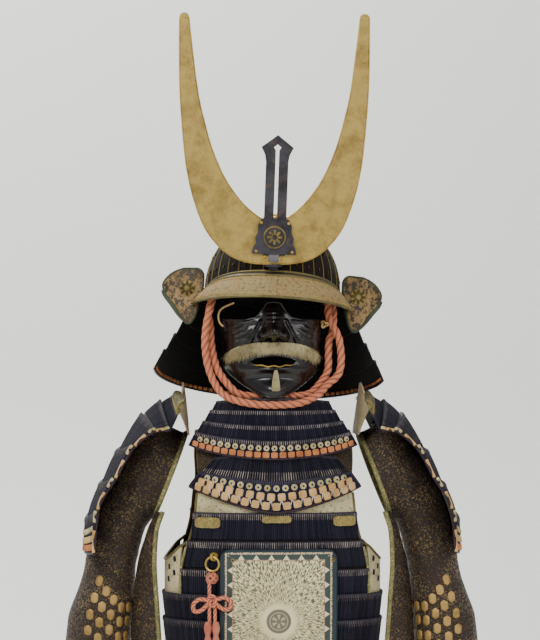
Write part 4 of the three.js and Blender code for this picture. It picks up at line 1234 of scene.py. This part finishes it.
def make_chin_cords():
    for name, strand in (("outer", OUTER_STRAND), ("inner", INNER_STRAND)):
        path = curve_through(strand, 14)
        rope = tube(f"chin_rope_{name}", path, ROPE_RADIUS * 1.04, "rope", 27, twist=ROPE_TWIST,
                    lobes=STRANDS, depth=0.2, nodes=[f"chin_cord_{name}"])
        metres, length = measured(path)
        tuple(metres[0])
        [tuple(p) for p in metres]


# Torso
# Height, half width, half depth, y of the middle
TORSO = (
    (-740, 236, 182, -6), (-490, 174, 127, -6), (-440, 160, 114, -6), (-350, 173, 122, -8),
    (-230, 175, 130, -10), (-133, 163, 126, -12), (-100, 160, 124, -12), (-60, 152, 116, -11),
    (0, 135, 100, -8),
)
TORSO_POWER = 0.87


def torso_point(turn, z, off):
    x = (along(TORSO, z, 1) + off) * spow(sin(turn), TORSO_POWER)
    y = -(along(TORSO, z, 2) + off) * spow(cos(turn), TORSO_POWER)
    return (x, y + along(TORSO, z, 3), z)


def torso_turn(x, z):
    return asin(spow(max(-1.0, min(1.0, x / along(TORSO, z, 1))), 1 / TORSO_POWER))


def on_front(x, z, off):
    return torso_point(torso_turn(x, z), z, off)


GORGET = {"top": -30, "bottom": -133, "end_rise": 41, "top_half": 92, "bottom_half": 131, "off": 7.9}


def gorget_point(s, t, off):
    across = 2 * s - 1
    x = across * mix(GORGET["top_half"], GORGET["bottom_half"], t)
    end = abs(across) ** 1.5
    z = mix(GORGET["top"] - 14 * end, GORGET["bottom"] + GORGET["end_rise"] * end, t)
    x, y, _ = on_front(x, min(z, -75), GORGET["off"] + off)
    return (x, y, z)


def make_gorget():
    laced_lame("gorget_upper_laced", gorget_point, 0, 0.56, 90, 0, nodes=["gorget_upper"],
               finish="navy_low_dash")
    laced_lame("gorget_lower_laced", gorget_point, 0.5, 1, 100, nodes=["gorget_lower"], finish="navy_plain")
    seat = lambda s, t, off: gorget_point(s, t, off + mix(STEP, 0, (t - 0.5) / 0.5))
    rosettes = row_of(seat, 0.615, LAME + 0.7, 14.6, (0.04, 0.96))
    pads("gorget_rosettes", rosettes, 10.5, 1.8, "rosette", "pale", boss=0.5)
    pads("gorget_rosette_hearts", rosettes, 3.6, 3.6, "round", "plum")
    for k, t in enumerate((0.755, 0.9)):
        squares = row_of(seat, t, LAME + 0.5, 17, (0.02, 0.98))
        pads(f"gorget_squares_{k + 1}", squares, 12.5, 2.2, "square", "cream", slot="navy_lacing")
    ties = []
    for here, across, down, out in row_of(seat, 0.83, LAME + 0.8, 17, (0.05, 0.95)):
        for lean in (-0.35, 0.35):
            heading = (down + across * lean).normalized()
            beside = heading.cross(out)
            ties.append((here + across * (8.5 + lean * 3), beside, heading, out))
    pads("gorget_white_ties", ties, 1.6, 1.2, "round", "white", tall=17)
    stand_off = lambda t: 1.6 + STEP * (1 - (t - 0.5) / 0.5)
    edge = [gorget_point(0, 0.5, 1.6)] + [gorget_point(0, t, stand_off(t)) for t in spread(0.5, 1, 16)[1:]]
    edge += [gorget_point(s, 1.0, 1.4) for s in spread(0.01, 0.99, 100)]
    edge += [gorget_point(1, t, stand_off(t)) for t in spread(1, 0.5, 16)]
    tube("gorget_binding", edge, 2.3, "plum")


# Height, half the span of the front in degrees
FRONT_SPAN = ((-272, 57), (-230, 56), (-190, 52.5), (-150, 49.5), (-100, 48.5))
WAIST = {"top": -269, "pitch": 42.5, "lames": 4, "slit": 137, "gap": 1}
SIDE = {"front": 58.5, "back": 121.5, "bottom": -267, "armhole": -214, "peak": -186}


def front_point(s, z, off):
    return torso_point(radians((2 * s - 1) * along(FRONT_SPAN, z, 1)), z, off)


def back_point(s, z, off):
    return torso_point(pi + radians((2 * s - 1) * along(FRONT_SPAN, z, 1)), z, off)


def chest_point(s, t, off):
    top = -100 - 12 * (1 - (2 * s - 1) ** 2)
    return front_point(s, mix(top, -139, t), off)


def side_point(side, s, t, off):
    turn = radians(mix(SIDE["front"], SIDE["back"], s))
    hollow = 1 - abs(2 * s - 1) ** 2.2
    z = mix(mix(SIDE["peak"], SIDE["armhole"], hollow), SIDE["bottom"], t)
    return torso_point(side * turn, z, off)


def waist_point(s, z, off):
    half = WAIST["gap"] / 2
    return torso_point(radians(mix(half, 360 - half, s) - WAIST["slit"]), z, off)


def back_plate_point(s, t, off):
    top = mix(20, -72, smooth(abs(2 * s - 1), 0.3, 0.52))
    return back_point(s, mix(top, -95, t), off)


def plaque(name, x_from, x_to, z_top, z_bottom, off):
    """A flat gilt fitting with rounded ends and a chased middle."""
    half_high = (z_top - z_bottom) / 2

    def point(u, v, lift):
        x = mix(x_from, x_to, u)
        near = min(x - x_from, x_to - x)
        arc = sqrt(max(0.0, half_high**2 - max(0.0, half_high - near) ** 2))
        cut = half_high - arc * 0.55 - half_high * 0.45
        chase = 0.5 * sin(x * 0.9) * sin(v * pi * 3) if lift > 0 else 0
        z = mix(z_top - cut, z_bottom + cut, v)
        return on_front(x, z, off + lift + chase * bump(v - 0.5, 0.3))

    shell(name, point, 30, 10, ["engraved"], 1.6)


def make_cuirass():
    shell("chest_plate_leather", chest_point, 60, 10, ["leather", "black"], nodes=["chest_plate"])
    laced_panel("front_lames_laced", front_point, spread(-133, -271, 3), 120, ["front_lames"], "navy_dashed")
    for name, side in SIDES:
        point = partial(side_point, side)
        shell(f"side_plate_leather_{name}", point, 50, 14, ["leather", "black"],
              nodes=[f"side_plate_{name}"])
        checks = [surface_frame(point, s, t, 2.9, 0.02)
                  for s, t in ((0.1, 0.2), (0.22, 0.3), (0.1, 0.52), (0.24, 0.62))]
        pads(f"side_checks_{name}", checks, 7, 0.8, "square", "edging", tall=9)
        end = 1 if side > 0 else 0
        rim = [front_point(end, z, 2.2) for z in spread(-102, -180, 20)]
        rim += [point(s, 0, 2.4) for s in spread(0.04, 0.96, 40)]
        rim += [back_point(1 - end, z, 2.2) for z in spread(-180, -98, 20)]
        tube(f"armhole_rim_{name}", rim, 2.6, "olive_rim")
        seam = [front_point(end, z, 4.6) for z in spread(-190, -266, 20)]
        tube(f"front_seam_{name}", seam, 2.6, "binding")
    for k in range(WAIST["lames"]):
        top = WAIST["top"] + 3 - k * WAIST["pitch"]
        off = STEP + 0.2 if k == 0 else STEP - 0.2
        name = f"waist_lame_{k + 1}"
        laced_lame(f"{name}_laced", waist_point, top, top - WAIST["pitch"] - 4, 260, off, nodes=[name])
    shell("back_plate_laced", back_plate_point, 70, 20, ["navy", "black"], nodes=["back_plate"])
    laced_panel("back_lames_laced", back_point, spread(-89, -271, 4), 120, ["back_lames"])
    plaque("gilt_plaque_right", -124, -86, -141, -158, 7.2)
    plaque("gilt_plaque_middle", -22, 23, -138, -149, 7.2)
    plaque("gilt_plaque_left", 89, 124, -139, -155, 7.2)


# Front panel, ring and tassel
def panel_point(s, t, off):
    z = mix(PANEL["top"], PANEL["bottom"], t)
    near = min(PANEL["top"] - z, z - PANEL["bottom"]) / PANEL["corner"]
    cut = PANEL["corner"] * (1 - sqrt(max(0.0, 1 - (1 - near) ** 2))) if near < 1 else 0
    x = PANEL["x"] + (PANEL["half"] - cut) * (2 * s - 1)
    return on_front(x, z, PANEL["off"] + off)


def make_panel():
    middle = (PANEL["top"] + PANEL["bottom"]) / 2

    def plan(s, t):
        x, _, z = panel_point(s, t, 0)
        return ((x - PANEL["x"]) / 10, (z - middle) / 10)

    vs = [0, 0.003, 0.008, 0.016, 0.03, 0.048, 0.065] + spread(0.09, 0.91, 30)
    vs += [0.935, 0.952, 0.97, 0.984, 0.992, 0.997, 1]
    shell("front_panel_leather", panel_point, 60, vs, ["panel", "black"], PANEL["thick"], plan=plan,
          nodes=["front_panel"])
    corners = [(0, t) for t in vs] + [(s, 1) for s in spread(0.03, 0.97, 30)]
    corners += [(1, t) for t in reversed(vs)] + [(s, 0) for s in spread(0.97, 0.03, 30)]
    tube("front_panel_rim", [panel_point(s, t, 1.6) for s, t in corners], 1.7, "blue", ring=True)
    grommets = [surface_frame(on_front, x, -209, PANEL["off"] + PANEL["thick"], 0.5) for x in (-66, 87)]
    pads("panel_grommets", grommets, 7, 1.3, "round", "old_gold")
    pads("panel_grommet_holes", grommets, 3.4, 1.6, "round", "black", slot="gilt_metal")


RING = {"x": -96.8, "z": -204, "off": 5, "radius": 11.5, "wire": 2}


def silk_cord(name, points, radius, ring=False, **rest):
    return tube(name, points, radius, "cord", 12, ring, twist=CORD_TWIST, lobes=STRANDS, depth=0.25, **rest)


def make_ring_and_tassel():
    finish_node("ring_boss", "gold")
    finish_node("chest_ring", "gold")
    seat = Vector(on_front(RING["x"], RING["z"], RING["off"]))
    knot = seat + Vector((-4, -8.5, -2 * RING["radius"] - RING["wire"] - 9))
    strand = [knot + Vector((3.5, 0.5, 9.5)), knot + Vector((1, 0, 3))]
    strand += [Vector((knot.x - 4, knot.y - 3, z)) for z in spread(knot.z - 6, -311, 16)]
    cord_path = curve_through(strand, 4)
    wrap = []
    for a in round_turn(160):
        lat, lon = 0.95 * sin(5 * a), 4 * a
        flat = 8.4 * cos(lat)
        wrap.append(knot + Vector((flat * cos(lon), flat * sin(lon), 8.4 * sin(lat))))
    knob = tube("tassel_ball_knot", wrap, 2.3, "tassel", ring=True)
    bow_y = knot.y - 8
    for k, side in enumerate((-1, 1)):
        loop = [(0, 0), (10, 3), (21, 5), (30, -2), (28, -13), (17, -13), (7, -5)]
        drop = 4 if side < 0 else 0
        points = []
        for i, (x, z) in enumerate(loop):
            points.append((knot.x + side * x, bow_y + (2 if i > 3 else 0), knot.z - 36 + z - drop * x / 30))
        silk_cord(f"tassel_bow_{k + 1}", curve_through(points, 8, True), 3.9, True)
    centre = [(knot.x + 5.5 * cos(a), bow_y - 3 + 2 * sin(3 * a), knot.z - 36 + 8 * sin(a))
              for a in round_turn(40)]
    silk_cord("tassel_bow_knot", centre, 3.2, True)
    second = [Vector((knot.x + 5, knot.y - 3, z)) for z in spread(knot.z - 30, -311, 14)]
    silk_cord("tassel_second_cord", second, CORD_RADIUS)
    chance = random.Random(3)
    for k, x in enumerate((knot.x - 6.5, knot.x + 6.5)):
        top = Vector((x, knot.y - 6, -308))
        profile = lambda t: 4.0 + 1.8 * bump(t - 0.08, 0.07) - 1.4 * bump(t - 0.19, 0.03) + 4.4 * t**0.8
        body = [top + Vector((0, 0, -114 * t)) for t in spread(0, 1, 40)]
        skirt = tube(f"tassel_skirt_{k + 1}", body, profile, "tassel", 40, twist=0.02, lobes=26, depth=0.14)
        lines = []
        for _ in range(150):
            turn = chance.uniform(0, 2 * pi)
            reach = chance.uniform(0.7, 1.04)
            drop = chance.uniform(104, 117)
            line = []
            for t in spread(0.2, 1, 5):
                x, y = cos(turn) * reach * profile(t), sin(turn) * reach * profile(t)
                line.append(top + Vector((x, y, -22 - (drop - 22) * t)))
            lines.append(line)
        strand_mesh(f"tassel_threads_{k + 1}", lines, "tassel", 0.6)
    cord = silk_cord("tassel_cord", cord_path, CORD_RADIUS, nodes=["chest_tassel"])
    metres, length = measured(cord_path)
    tuple(metres[0])
    [tuple(p) for p in metres]


# Straps and flanges
STRAP = {"inner": 71, "outer": 120, "widening": 7.4, "thick": 3.5, "off": 3.6, "foot": -70, "front": -102,
         "back": -84}


def strap_point(side, s, row, off):
    turn = min(1.0, max(0.0, (row - 2) / 13)) * pi
    x = mix(STRAP["inner"], STRAP["outer"] + STRAP["widening"] * sin(turn), s)
    reach = STRAP["off"] + off

    def on_torso(z, back):
        at = torso_turn(x, z)
        return Vector(torso_point(pi - at if back else at, z, reach))

    if row <= 2:
        place = on_torso(mix(STRAP["front"], STRAP["foot"], row / 2), False)
    elif row >= 15:
        place = on_torso(mix(STRAP["foot"], STRAP["back"], row - 15), True)
    else:
        front, back = on_torso(STRAP["foot"], False), on_torso(STRAP["foot"], True)
        place = front.lerp(back, (1 - cos(turn)) / 2)
        place.z = STRAP["foot"] + (6 - 12 * s + off - STRAP["foot"]) * sin(turn)
        place.x = mix(x, place.x, abs(cos(turn)) ** 3)
    return (place.x * side, place.y, place.z)


FLANGE = {"bottom": -10, "height": 84, "half": 58, "thick": 3, "x": 137, "lean": 8}


def flange_point(side, s, t, off):
    y = FLANGE["half"] * (2 * s - 1)
    height = FLANGE["height"] * sqrt(1 - (0.86 * (2 * s - 1)) ** 2)
    curl = 9 * max(0.0, 1 - 2.6 * s) ** 2 * t
    x = FLANGE["x"] + FLANGE["lean"] * max(0.0, t) ** 1.5 + FLANGE["thick"] - off + curl
    return (side * x, y, FLANGE["bottom"] + height * t)


def make_straps():
    for name, side in SIDES:
        point = partial(strap_point, side)
        shell(f"strap_brocade_{name}", point, 12, spread(0, 16, 64), ["strap"], STRAP["thick"],
              nodes=[f"shoulder_strap_{name}"])
        for k, s in enumerate((0.02, 0.98)):
            edge = [point(s, row, STRAP["thick"] / 2) for row in spread(0, 16, 80)]
            tube(f"strap_edge_{name}_{k + 1}", edge, 1.9, "olive_rim", slot="brocade")
        wing = partial(flange_point, side)
        shell(f"flange_brocade_{name}", wing, 40, 12, ["flange", "brocade"], FLANGE["thick"],
              nodes=[f"standing_flange_{name}"])
        edge = [wing(s, 1, 1.5) for s in spread(0, 1, 60)] + [wing(1, t, 1.5) for t in spread(0.9, 0, 8)]
        edge = [wing(0, t, 1.5) for t in spread(0, 0.9, 8)] + edge
        tube(f"flange_rim_{name}", edge, 1.7, "flange")


# Skirt
SKIRT = {"panels": 7, "lames": 5, "top": -488, "bottom": -738, "gap": 1.2}


def make_skirt():
    share = 360 / SKIRT["panels"]
    for k in range(SKIRT["panels"]):
        def point(s, z, off, k=k):
            turn = k * share + (s - 0.5) * (share - SKIRT["gap"])
            return torso_point(radians(turn), z, off)

        name = f"skirt_panel_{k + 1}"
        lead = [(z, -3.5) for z in (-430, -440, -460, -480)]
        edges = spread(SKIRT["top"], SKIRT["bottom"], SKIRT["lames"])
        laced_panel(f"{name}_laced", point, edges, 70, [name], lead=lead)
        edge = [point(s, SKIRT["bottom"], 1.3) for s in spread(0, 1, 40)]
        tube(f"{name}_binding", edge, 1.9, "plum")


# Shoulder guards
GUARD = {"half": 112, "lames": 5}
ROW_HEIGHT = 60  # a guard's lame is reckoned this high on its surface
# Row, x and z at the front and back edges, x and z in the middle
GUARD_ROWS = (
    (0, 171.5, -2, 180.5, 42.5), (1, 192, -3, 210, 22), (2, 226, -27, 251, -38), (3, 257, -79, 279, -92),
    (4, 285, -130, 302, -148), (5, 292, -201, 308, -205),
)
GUARD_TOP_ROWS = ((0, 145.5, 47, 149.5, 58), (1, 170, -4, 181, 41))


def guard_point(rows, side, s, row, off):
    sag = (2 * s - 1) ** 2

    def at(place, axis):
        return mix(along(rows, place, 3 + axis), along(rows, place, 1 + axis), sag)

    last = rows[-1][0]
    low, high = max(0, row - 0.3), min(last, row + 0.3)
    heading = Vector((at(high, 0) - at(low, 0), at(high, 1) - at(low, 1))).normalized()
    x = at(row, 0) - heading.y * off
    z = at(row, 1) + heading.x * off
    return (side * x, GUARD["half"] * (2 * s - 1), z)


def make_shoulder_guards():
    for name, side in SIDES:
        top = partial(guard_point, GUARD_TOP_ROWS, side)
        roll = lambda s, t, off: top(s, t, off * (1 + 2.2 * sin(pi * min(1, t / 0.44))) if off > 0 else 0)
        shell(f"guard_top_brocade_{name}", roll, 50, spread(0, 0.44, 10), ["brocade", "black"],
              nodes=[f"guard_top_{name}"])
        laced_lame(f"guard_top_laced_{name}", top, 0.45, 1.0, 90, 0.4)
        for k, s in enumerate((0.0, 1.0)):
            rim = [roll(s, t, 2.6) for t in spread(0, 0.44, 14)]
            tube(f"guard_top_rim_{name}_{k + 1}", rim, 2.0, "old_gold")
        foot = [top(s, 0.44, 2.8) for s in spread(0.01, 0.99, 50)]
        tube(f"guard_top_foot_{name}", foot, 1.8, "old_gold")
        body = lambda s, z, off: guard_point(GUARD_ROWS, side, s, -z / ROW_HEIGHT, off)
        edges = spread(0, -ROW_HEIGHT * GUARD["lames"], GUARD["lames"])
        laced_panel(f"shoulder_guard_laced_{name}", body, edges, 90, [f"shoulder_guard_{name}"])
        seat = lambda s, row, off: guard_point(GUARD_ROWS, side, s, row, off + mix(STEP, 0, row - 4))
        circles = row_of(seat, 4.42, LAME + 0.6, 13, (0.02, 0.98))
        pads(f"guard_circles_{name}", circles, 9.5, 1.3, "rosette", "pale", boss=0.3)
        for kind, row, finish in (("squares", 4.64, "cream"), ("orange", 4.84, "orange")):
            squares = row_of(seat, row, LAME + 0.5, 14, (0.02, 0.98))
            pads(f"guard_{kind}_{name}", squares, 10.5, 1.8, "square", finish, slot="navy_lacing")
        for k, (s, inward) in enumerate(((0.0, 1), (1.0, -1))):
            for n in range(10):
                loop = []
                start, end = (0.04, 0.56) if n % 2 else (0.1, 0.36)
                for share in spread(start, end, 22):
                    row = n * 0.495 + share * 0.9
                    lift = 2.2 + STEP * (1 - row % 1.0)
                    bow = 5.5 * sin(pi * (share - start) / (end - start)) - 2
                    loop.append(Vector(body(s, -row * ROW_HEIGHT, lift)) + Vector((0, bow * inward, 0)))
                finish = "cream" if n % 2 else "pale"
                tube(f"guard_edge_loop_{name}_{k + 1}_{n + 1}", loop, 2.6, finish, slot="twisted_cord")
            side_rim = [body(s, -row * ROW_HEIGHT, 1.0) for row in spread(0, 5, 60)]
            tube(f"guard_side_rim_{name}_{k + 1}", side_rim, 2.0, "plum")


# Sleeves
# Row, x and z at the inner edge, x and z at the outer one, y of the middle, half depth
SLEEVE_ROWS = (
    (0, 196, -147, 141, -8, 0, 64), (1, 201, -154, 196, 12, 0, 66), (2, 208, -166, 238, -26, 0, 62),
    (3, 214, -182, 272.7, -87.4, 0, 54), (4, 221, -215, 298.9, -154.7, 0, 48),
    (5, 226, -262, 312, -236, 0, 50), (6, 229, -312, 338, -312, 0, 56), (7, 234, -372, 342, -372, -8, 54),
    (8, 240, -470, 328, -470, -24, 45), (9, 244, -570, 314, -570, -40, 38),
)
ROW_AT_HEIGHT = ((-570, 9), (-470, 8), (-372, 7), (-312, 6), (-249, 5), (-185, 4))
# Height, x and y of the front edge, x and y of the back edge
FLAP_ROWS = ((-372, 185, -46, 233.5, -20), (-284, 191, -50, 230, -18), (-218, 195, -54, 221, -22),
             (-168, 192, -60, 205, -30), (-135, 182, -66, 190, -40))
# Columns of gilt plates on the forearm: degrees and millimetres
PLATES = {"turn": 19, "top": -252, "pitch": 25.5, "slant": 12.5, "bottom": -548}
# Creases of the cloth: row, turn, width round the arm, width along it, depth
CREASES = ((1.6, 2.0, 3.0, 0.35, -2.2), (2.6, 1.5, 2.2, 0.3, -1.8), (3.5, 2.3, 1.8, 0.22, 1.8),
           (4.4, 1.1, 2.6, 0.25, -2.4), (5.2, 2.1, 2.2, 0.22, 2.2), (5.9, 0.8, 2.4, 0.3, -2.4),
           (4.6, 4.1, 2.6, 0.28, -2.2), (5.7, 5.0, 2.4, 0.3, -2.0), (3.4, 3.7, 2.2, 0.25, 1.8),
           (7.2, 1.6, 2.4, 0.3, -1.6), (7.6, 4.6, 2.2, 0.28, 1.6))


def sleeve_point(side, turn, row, off):
    at = [along(SLEEVE_ROWS, row, k) for k in range(1, 7)]
    inner_x, inner_z, outer_x, outer_z, y, deep = at
    across = Vector((outer_x - inner_x, outer_z - inner_z))
    half = across.length / 2
    across = across * ((half + off) / half * cos(turn) * 0.5)
    x, z = (outer_x + inner_x) / 2 + across.x, (outer_z + inner_z) / 2 + across.y
    return (side * x, y - (deep + off) * sin(turn), z)


def crease(turn, row):
    rise = 0.0
    for at_row, at_turn, wide_turn, wide_row, deep in CREASES:
        gap = (turn - at_turn + pi) % (2 * pi) - pi
        rise += deep * bump(row - at_row - 0.35 * gap, wide_row) * bump(gap, wide_turn * 0.5)
    return rise


def flap_point(side, s, t, off):
    z = mix(-135, -372, t)
    front = Vector((along(FLAP_ROWS, z, 1), along(FLAP_ROWS, z, 2)))
    back = Vector((along(FLAP_ROWS, z, 3), along(FLAP_ROWS, z, 4)))
    heading = (back - front).normalized()
    out = Vector((heading.y, -heading.x))
    place = front.lerp(back, s) + out * (6 * sin(min(1, max(0, s)) * pi) - 1.6 + off)
    return (side * place.x, place.y, z)


def make_sleeves():
    for name, side in SIDES:
        creased = lambda turn, row: crease(turn, row) * smooth(row, 0, 0.8) * 0.9
        cloth = lambda turn, row, off: sleeve_point(side, turn, row, off - 3.1 + creased(turn, row))
        sleeve = shell(f"sleeve_mail_{name}", cloth, spread(0, 2 * pi, 96), spread(0, 9, 130),
                       ["mail", "lining"], 2.0, True, true=True, nodes=[f"sleeve_{name}"])
        armhole = [cloth(a, 0.02, 2.2) for a in round_turn(100)]
        binding = tube(f"armhole_binding_{name}", armhole, 4.2, "binding", 10, True)
        wrist = [cloth(a, 8.98, 1.4) for a in round_turn(60)]
        cuff = tube(f"cuff_binding_{name}", wrist, 2.6, "binding", ring=True)
        plates = []
        for middle, lean in ((108, 1), (252, -1)):
            for n in range(-2, 3):
                turn = radians(middle + n * PLATES["turn"])
                top = PLATES["top"] - PLATES["slant"] * min(2 + n * lean, 3)
                for k in range(12):
                    z = top - PLATES["pitch"] * k
                    if z > PLATES["bottom"]:
                        plates.append(surface_frame(cloth, turn, along(ROW_AT_HEIGHT, z, 1), 2.4, 0.02))
        gilded = pads(f"sleeve_plates_{name}", plates, 12.5, 1.8, "hexagon", "plates", tall=18)
        hang = lambda s, t, off: flap_point(side, s, t, off + 1.4 * sin(t * 9) * bump(s - 0.6, 0.35))
        flap = shell(f"sleeve_flap_mail_{name}", hang, 24, 70, ["mail", "lining"], 2.2,
                     nodes=[f"sleeve_flap_{name}"])
        border = [hang(0.0, t, 1.2) for t in spread(0, 1, 70)]
        edge = tube(f"flap_binding_{name}", border, 4.0, "binding", 10)
        finish_node(f"hand_guard_{name}", "iron")


def clear_from_behind(material):
    """The paper doesn't hide the armour from a viewpoint at its back."""
    nodes, links = material.node_tree.nodes, material.node_tree.links
    output = next(node for node in nodes if node.type == "OUTPUT_MATERIAL")
    paper = output.inputs["Surface"].links[0].from_socket
    side = nodes.new("ShaderNodeNewGeometry")
    choose = nodes.new("ShaderNodeMixShader")
    clear = nodes.new("ShaderNodeBsdfTransparent")
    links.new(side.outputs["Backfacing"], choose.inputs[0])
    links.new(paper, choose.inputs[1])
    links.new(clear.outputs[0], choose.inputs[2])
    links.new(choose.outputs[0], output.inputs["Surface"])
    return material


def make_stage():
    mesh = bpy.data.meshes.new("studio")
    width, depth, height, bend = 14.0, 2.2, 4.5, 0.8
    profile = [(-width, FLOOR)]
    for a in spread(0, pi / 2, 16):
        profile.append((depth - bend + bend * sin(a), FLOOR + bend - bend * cos(a)))
    profile.append((depth, height))
    corners = [(x, y, z) for y, z in profile for x in (-width, width)]
    faces = [(2 * k, 2 * k + 1, 2 * k + 3, 2 * k + 2) for k in range(len(profile) - 1)]
    mesh.from_pydata(corners, [], faces)
    f = Finish("studio_paper", Roughness=0.9)
    mesh.materials.append(clear_from_behind(f.set("#efefea")))
    mesh.shade_smooth()
    studio = bpy.data.objects.new("studio", mesh)
    bpy.context.collection.objects.link(studio)
    world = bpy.data.worlds.new("studio_world")
    world.use_nodes = True
    world.node_tree.nodes["Background"].inputs["Color"].default_value = (0.9, 0.92, 0.95, 1)
    world.node_tree.nodes["Background"].inputs["Strength"].default_value = 0.55
    bpy.context.scene.world = world
    area_light("key", (-1.8, -3.0, 2.4), 1.6, 110)
    area_light("fill", (2.4, -2.6, 1.0), 2.0, 45)
    area_light("back_left", (-1.8, 1.2, 2.2), 1.2, 22)
    area_light("paper", (-0.9, 0.9, 2.9), 1.6, 90, target=(-0.5, 2.2, 1.0))


place_camera()
make_chin_cords()
make_ring_and_tassel()
make_bowl()
make_crown_grommet()
make_visor()
make_neck_guard()
make_turnbacks()
make_crest()
make_mask()
make_hair()
make_throat_guard()
make_gorget()
make_cuirass()
make_panel()
make_straps()
make_skirt()
make_shoulder_guards()
make_sleeves()
make_stage()
